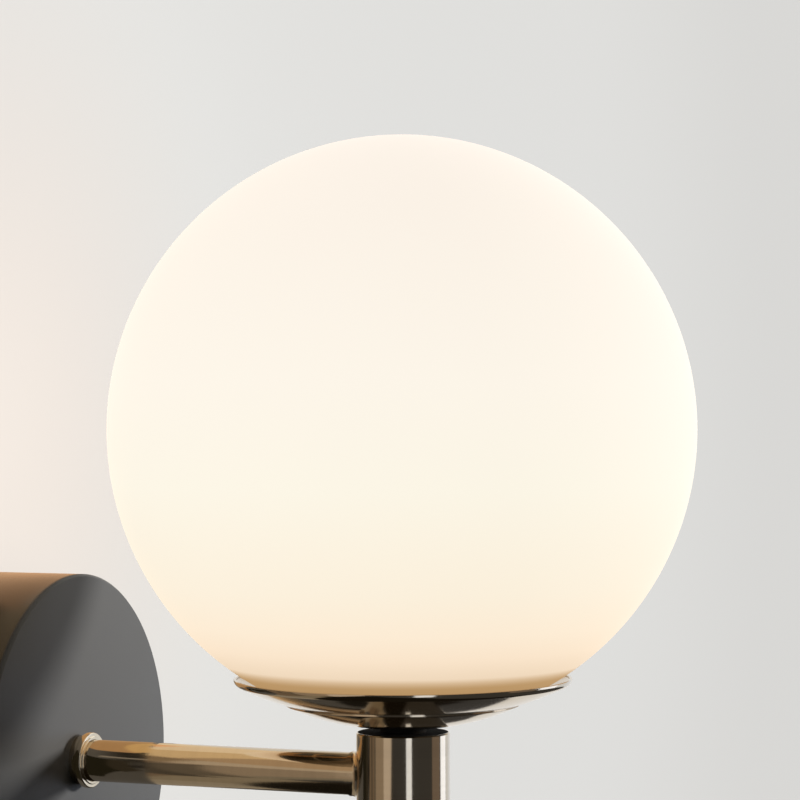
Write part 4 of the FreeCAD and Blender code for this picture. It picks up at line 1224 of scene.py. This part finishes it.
    def build(self) -> None:
        """Set the stage."""
        self._surfaces()
        for name, corners, colour in self.cards:
            if len(corners) == 2:
                (left, low), (right, high) = corners
                corners = ((left, low), (right, low), (right, high), (left, high))
            self._mirrored(name, [Vector((x, self.card_y, z)) for x, z in corners], colour)
        for name, front, colour, corners in self.canopy_patches:
            self._mirrored(name, [Vector((x, -front, z)) for x, z in corners], colour)
        # Upright dark patches seen in the metal only: painted shade for the shaded wall beside the canopy.
        for name, x, reach, top, colour in self.shade_cards:
            near, foot = -0.0005, self.shade_card_foot
            corners = ((-reach, foot), (near, foot), (near, top), (-reach, top))
            self._mirrored(name, [Vector((x, y, z)) for y, z in corners], colour)
        for name, azimuth, elevation, wide, tall, light, colour in self.panels:
            place = FOOT + heading(azimuth, elevation) * self.panel_distance
            self.sheet(name, place, FOOT - place, wide, tall, colour, light, shown=False)
        self.sun(azimuth=42.0, elevation=8.5, spread=10.0, strength=4.95, colour=(1.0, 0.99, 0.975))
        self._room(backdrop=0.75, ambient=0.055)
        self.camera()

    def _surfaces(self) -> None:
        """Set up the wall, the floor, and the dark flags below that the camera does not see."""
        wall = self.sheet("wall", Vector((0.0, self.wall_y, 0.3)), Vector((0.0, -1.0, 0.0)), 9.0, 5.0,
                          (0.603, 0.600, 0.586))
        # The wall's colour runs with distance from the globe's middle: painted fall-off of the globe's
        # light.
        g = Graph(wall.data.materials[0].node_tree)
        place = g.add("ShaderNodeTexCoord").outputs["Object"]
        away = g.vector("DISTANCE", place, (0.0, 0.0, self.target[2] * MM))
        warm = g.ramp(g.math("DIVIDE", away, self.painted_falloff_reach), self.painted_falloff, "EASE")
        g.feed(g.tree.nodes["Diffuse BSDF"], {"Color": warm})
        floor = self.sheet("floor", Vector((0.0, 0.0, -0.9)), UP, 9.0, 9.0, (0.80, 0.79, 0.78))
        floor.visible_diffuse = False
        self.sheet("under_flag", Vector((0.0, -0.61, -0.225)), UP, 2.6, 1.2, (0.014, 0.012, 0.009),
                   shown=False)
        self.sheet("under_shade", Vector((-0.55, -0.151, -0.226)), UP, 1.6, 0.3, (0.012, 0.010, 0.007), 1.0,
                   shown=False)

    def _mirrored(self, name: str, corners: list[Vector], colour: Colour) -> None:
        """Add a lit patch that is seen in the metal only, a painted reflection, with its corners in metres.
        """
        self.patch(name, corners, colour, 1.0, shown=False)

    def patch(self, name: str, corners: list[Vector], colour: Colour, light: float = 0.0,
              shown: bool = True) -> bpy.types.Object:
        """A flat one-sided patch of the stage: wall, floor, reflector or light panel.

        Args:
            name: The patch's name.
            corners: Its corners in metres, counter-clockwise as seen from the side that shows.
            colour: Its colour.
            light: Strength of its own light, 0 for a plain surface.
            shown: Whether the camera sees it. A lit patch that is not shown is seen in the metal only.

        Returns:
            The patch.
        """
        mesh = bpy.data.meshes.new(name)
        mesh.from_pydata(corners, [], [range(len(corners))])
        piece = linked(name, mesh)
        material = bpy.data.materials.new(name)
        material.use_nodes = True
        tree = material.node_tree
        g = Graph(tree)
        tree.nodes.remove(tree.nodes["Principled BSDF"])
        if light:
            front = g.add("ShaderNodeEmission", {"Color": (*colour, 1.0), "Strength": light}).outputs[0]
        else:
            front = g.add("ShaderNodeBsdfDiffuse", {"Color": (*colour, 1.0)}).outputs[0]
        back = g.add("ShaderNodeNewGeometry").outputs["Backfacing"]
        clear = g.add("ShaderNodeBsdfTransparent").outputs[0]
        mix = g.add("ShaderNodeMixShader", {0: back, 1: front, 2: clear})
        g.feed(tree.nodes["Material Output"], {"Surface": mix.outputs[0]})
        piece.data.materials.append(material)
        piece.visible_camera = piece.visible_shadow = shown
        piece.visible_diffuse = shown or not light
        piece.visible_glossy = bool(light)
        return piece

    def sheet(self, name: str, centre: Vector, facing: Vector, wide: float, tall: float,
              colour: Colour, light: float = 0.0, shown: bool = True) -> bpy.types.Object:
        """A rectangular patch.

        Args:
            name: The patch's name.
            centre: Its middle, in metres.
            facing: The side that shows.
            wide: Its width.
            tall: Its height.
            colour: Its colour.
            light: Strength of its own light, 0 for a plain surface.
            shown: Whether the camera sees it.

        Returns:
            The patch.
        """
        turn = facing.normalized().to_track_quat("Z", "Y").to_matrix()
        halves = ((-0.5, -0.5), (0.5, -0.5), (0.5, 0.5), (-0.5, 0.5))
        corners = [centre + turn @ Vector((x * wide, y * tall, 0.0)) for x, y in halves]
        return self.patch(name, corners, colour, light, shown)

    def sun(self, azimuth: float, elevation: float, spread: float, strength: float, colour: Colour) -> None:
        """The key light: far away and soft, and not mirrored by the metal.

        Args:
            elevation: Height above the horizon, in degrees.
            spread: Its apparent width, in degrees.
            strength: Its strength.
            colour: Its colour.
        """
        data = bpy.data.lights.new("key", "SUN")
        data.energy, data.angle, data.color = strength, math.radians(spread), colour
        light = linked("key", data)
        light.visible_glossy = False
        away = heading(azimuth, elevation)
        turn = away.to_track_quat("Z", "Y").to_matrix().to_4x4()
        light.matrix_world = Matrix.Translation(FOOT + away * 2.0) @ turn

    def _room(self, backdrop: float, ambient: float) -> None:
        """Set the world's light and the view transform.

        Args:
            backdrop: The world's strength as the camera sees it.
            ambient: Its strength for everything else.
        """
        world = bpy.data.worlds.new("world")
        world.use_nodes = True
        g = Graph(world.node_tree)
        seen = g.add("ShaderNodeLightPath").outputs["Is Camera Ray"]
        level = g.add("ShaderNodeMix", {0: seen, 2: ambient, 3: backdrop}, data_type="FLOAT").outputs[0]
        g.feed(world.node_tree.nodes["Background"], {"Color": (1.0, 0.985, 0.965, 1.0), "Strength": level})
        bpy.context.scene.world = world
        bpy.context.scene.view_settings.view_transform = "Standard"
        bpy.context.scene.view_settings.look = "None"

    def camera(self) -> None:
        """Place the camera as the photograph's."""
        turn, roll = math.radians(self.azimuth), math.radians(self.roll)
        back = heading(self.azimuth, self.elevation)
        right = Vector((math.cos(turn), math.sin(turn), 0.0))
        up = back.cross(right)
        across = right * math.cos(roll) + up * math.sin(roll)
        upward = up * math.cos(roll) - right * math.sin(roll)
        data = bpy.data.cameras.new("camera")
        data.lens, data.sensor_width = self.focal, self.sensor
        data.clip_start, data.clip_end = 0.05, 30.0
        camera = linked("camera", data)
        place = Vector(self.target) + back * self.distance
        place = place + across * self.shift_right + upward * self.shift_up
        axes = Matrix((across, upward, back)).transposed().to_4x4()
        camera.matrix_world = Matrix.Translation(place * MM) @ axes
        bpy.context.scene.camera = camera


def main() -> None:
    """Build and dress every group of pieces, and set the stage."""
    logging.basicConfig(level=logging.INFO, format="%(name)s: %(message)s")
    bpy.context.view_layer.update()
    finishes = Finishes().build()
    for group in (Canopy, Arm, Wiring, Column, Dish, Fitter, Socket, Bulb, Globe):
        group(finishes).build()
    Studio().build()


if __name__ == "__main__":
    main()
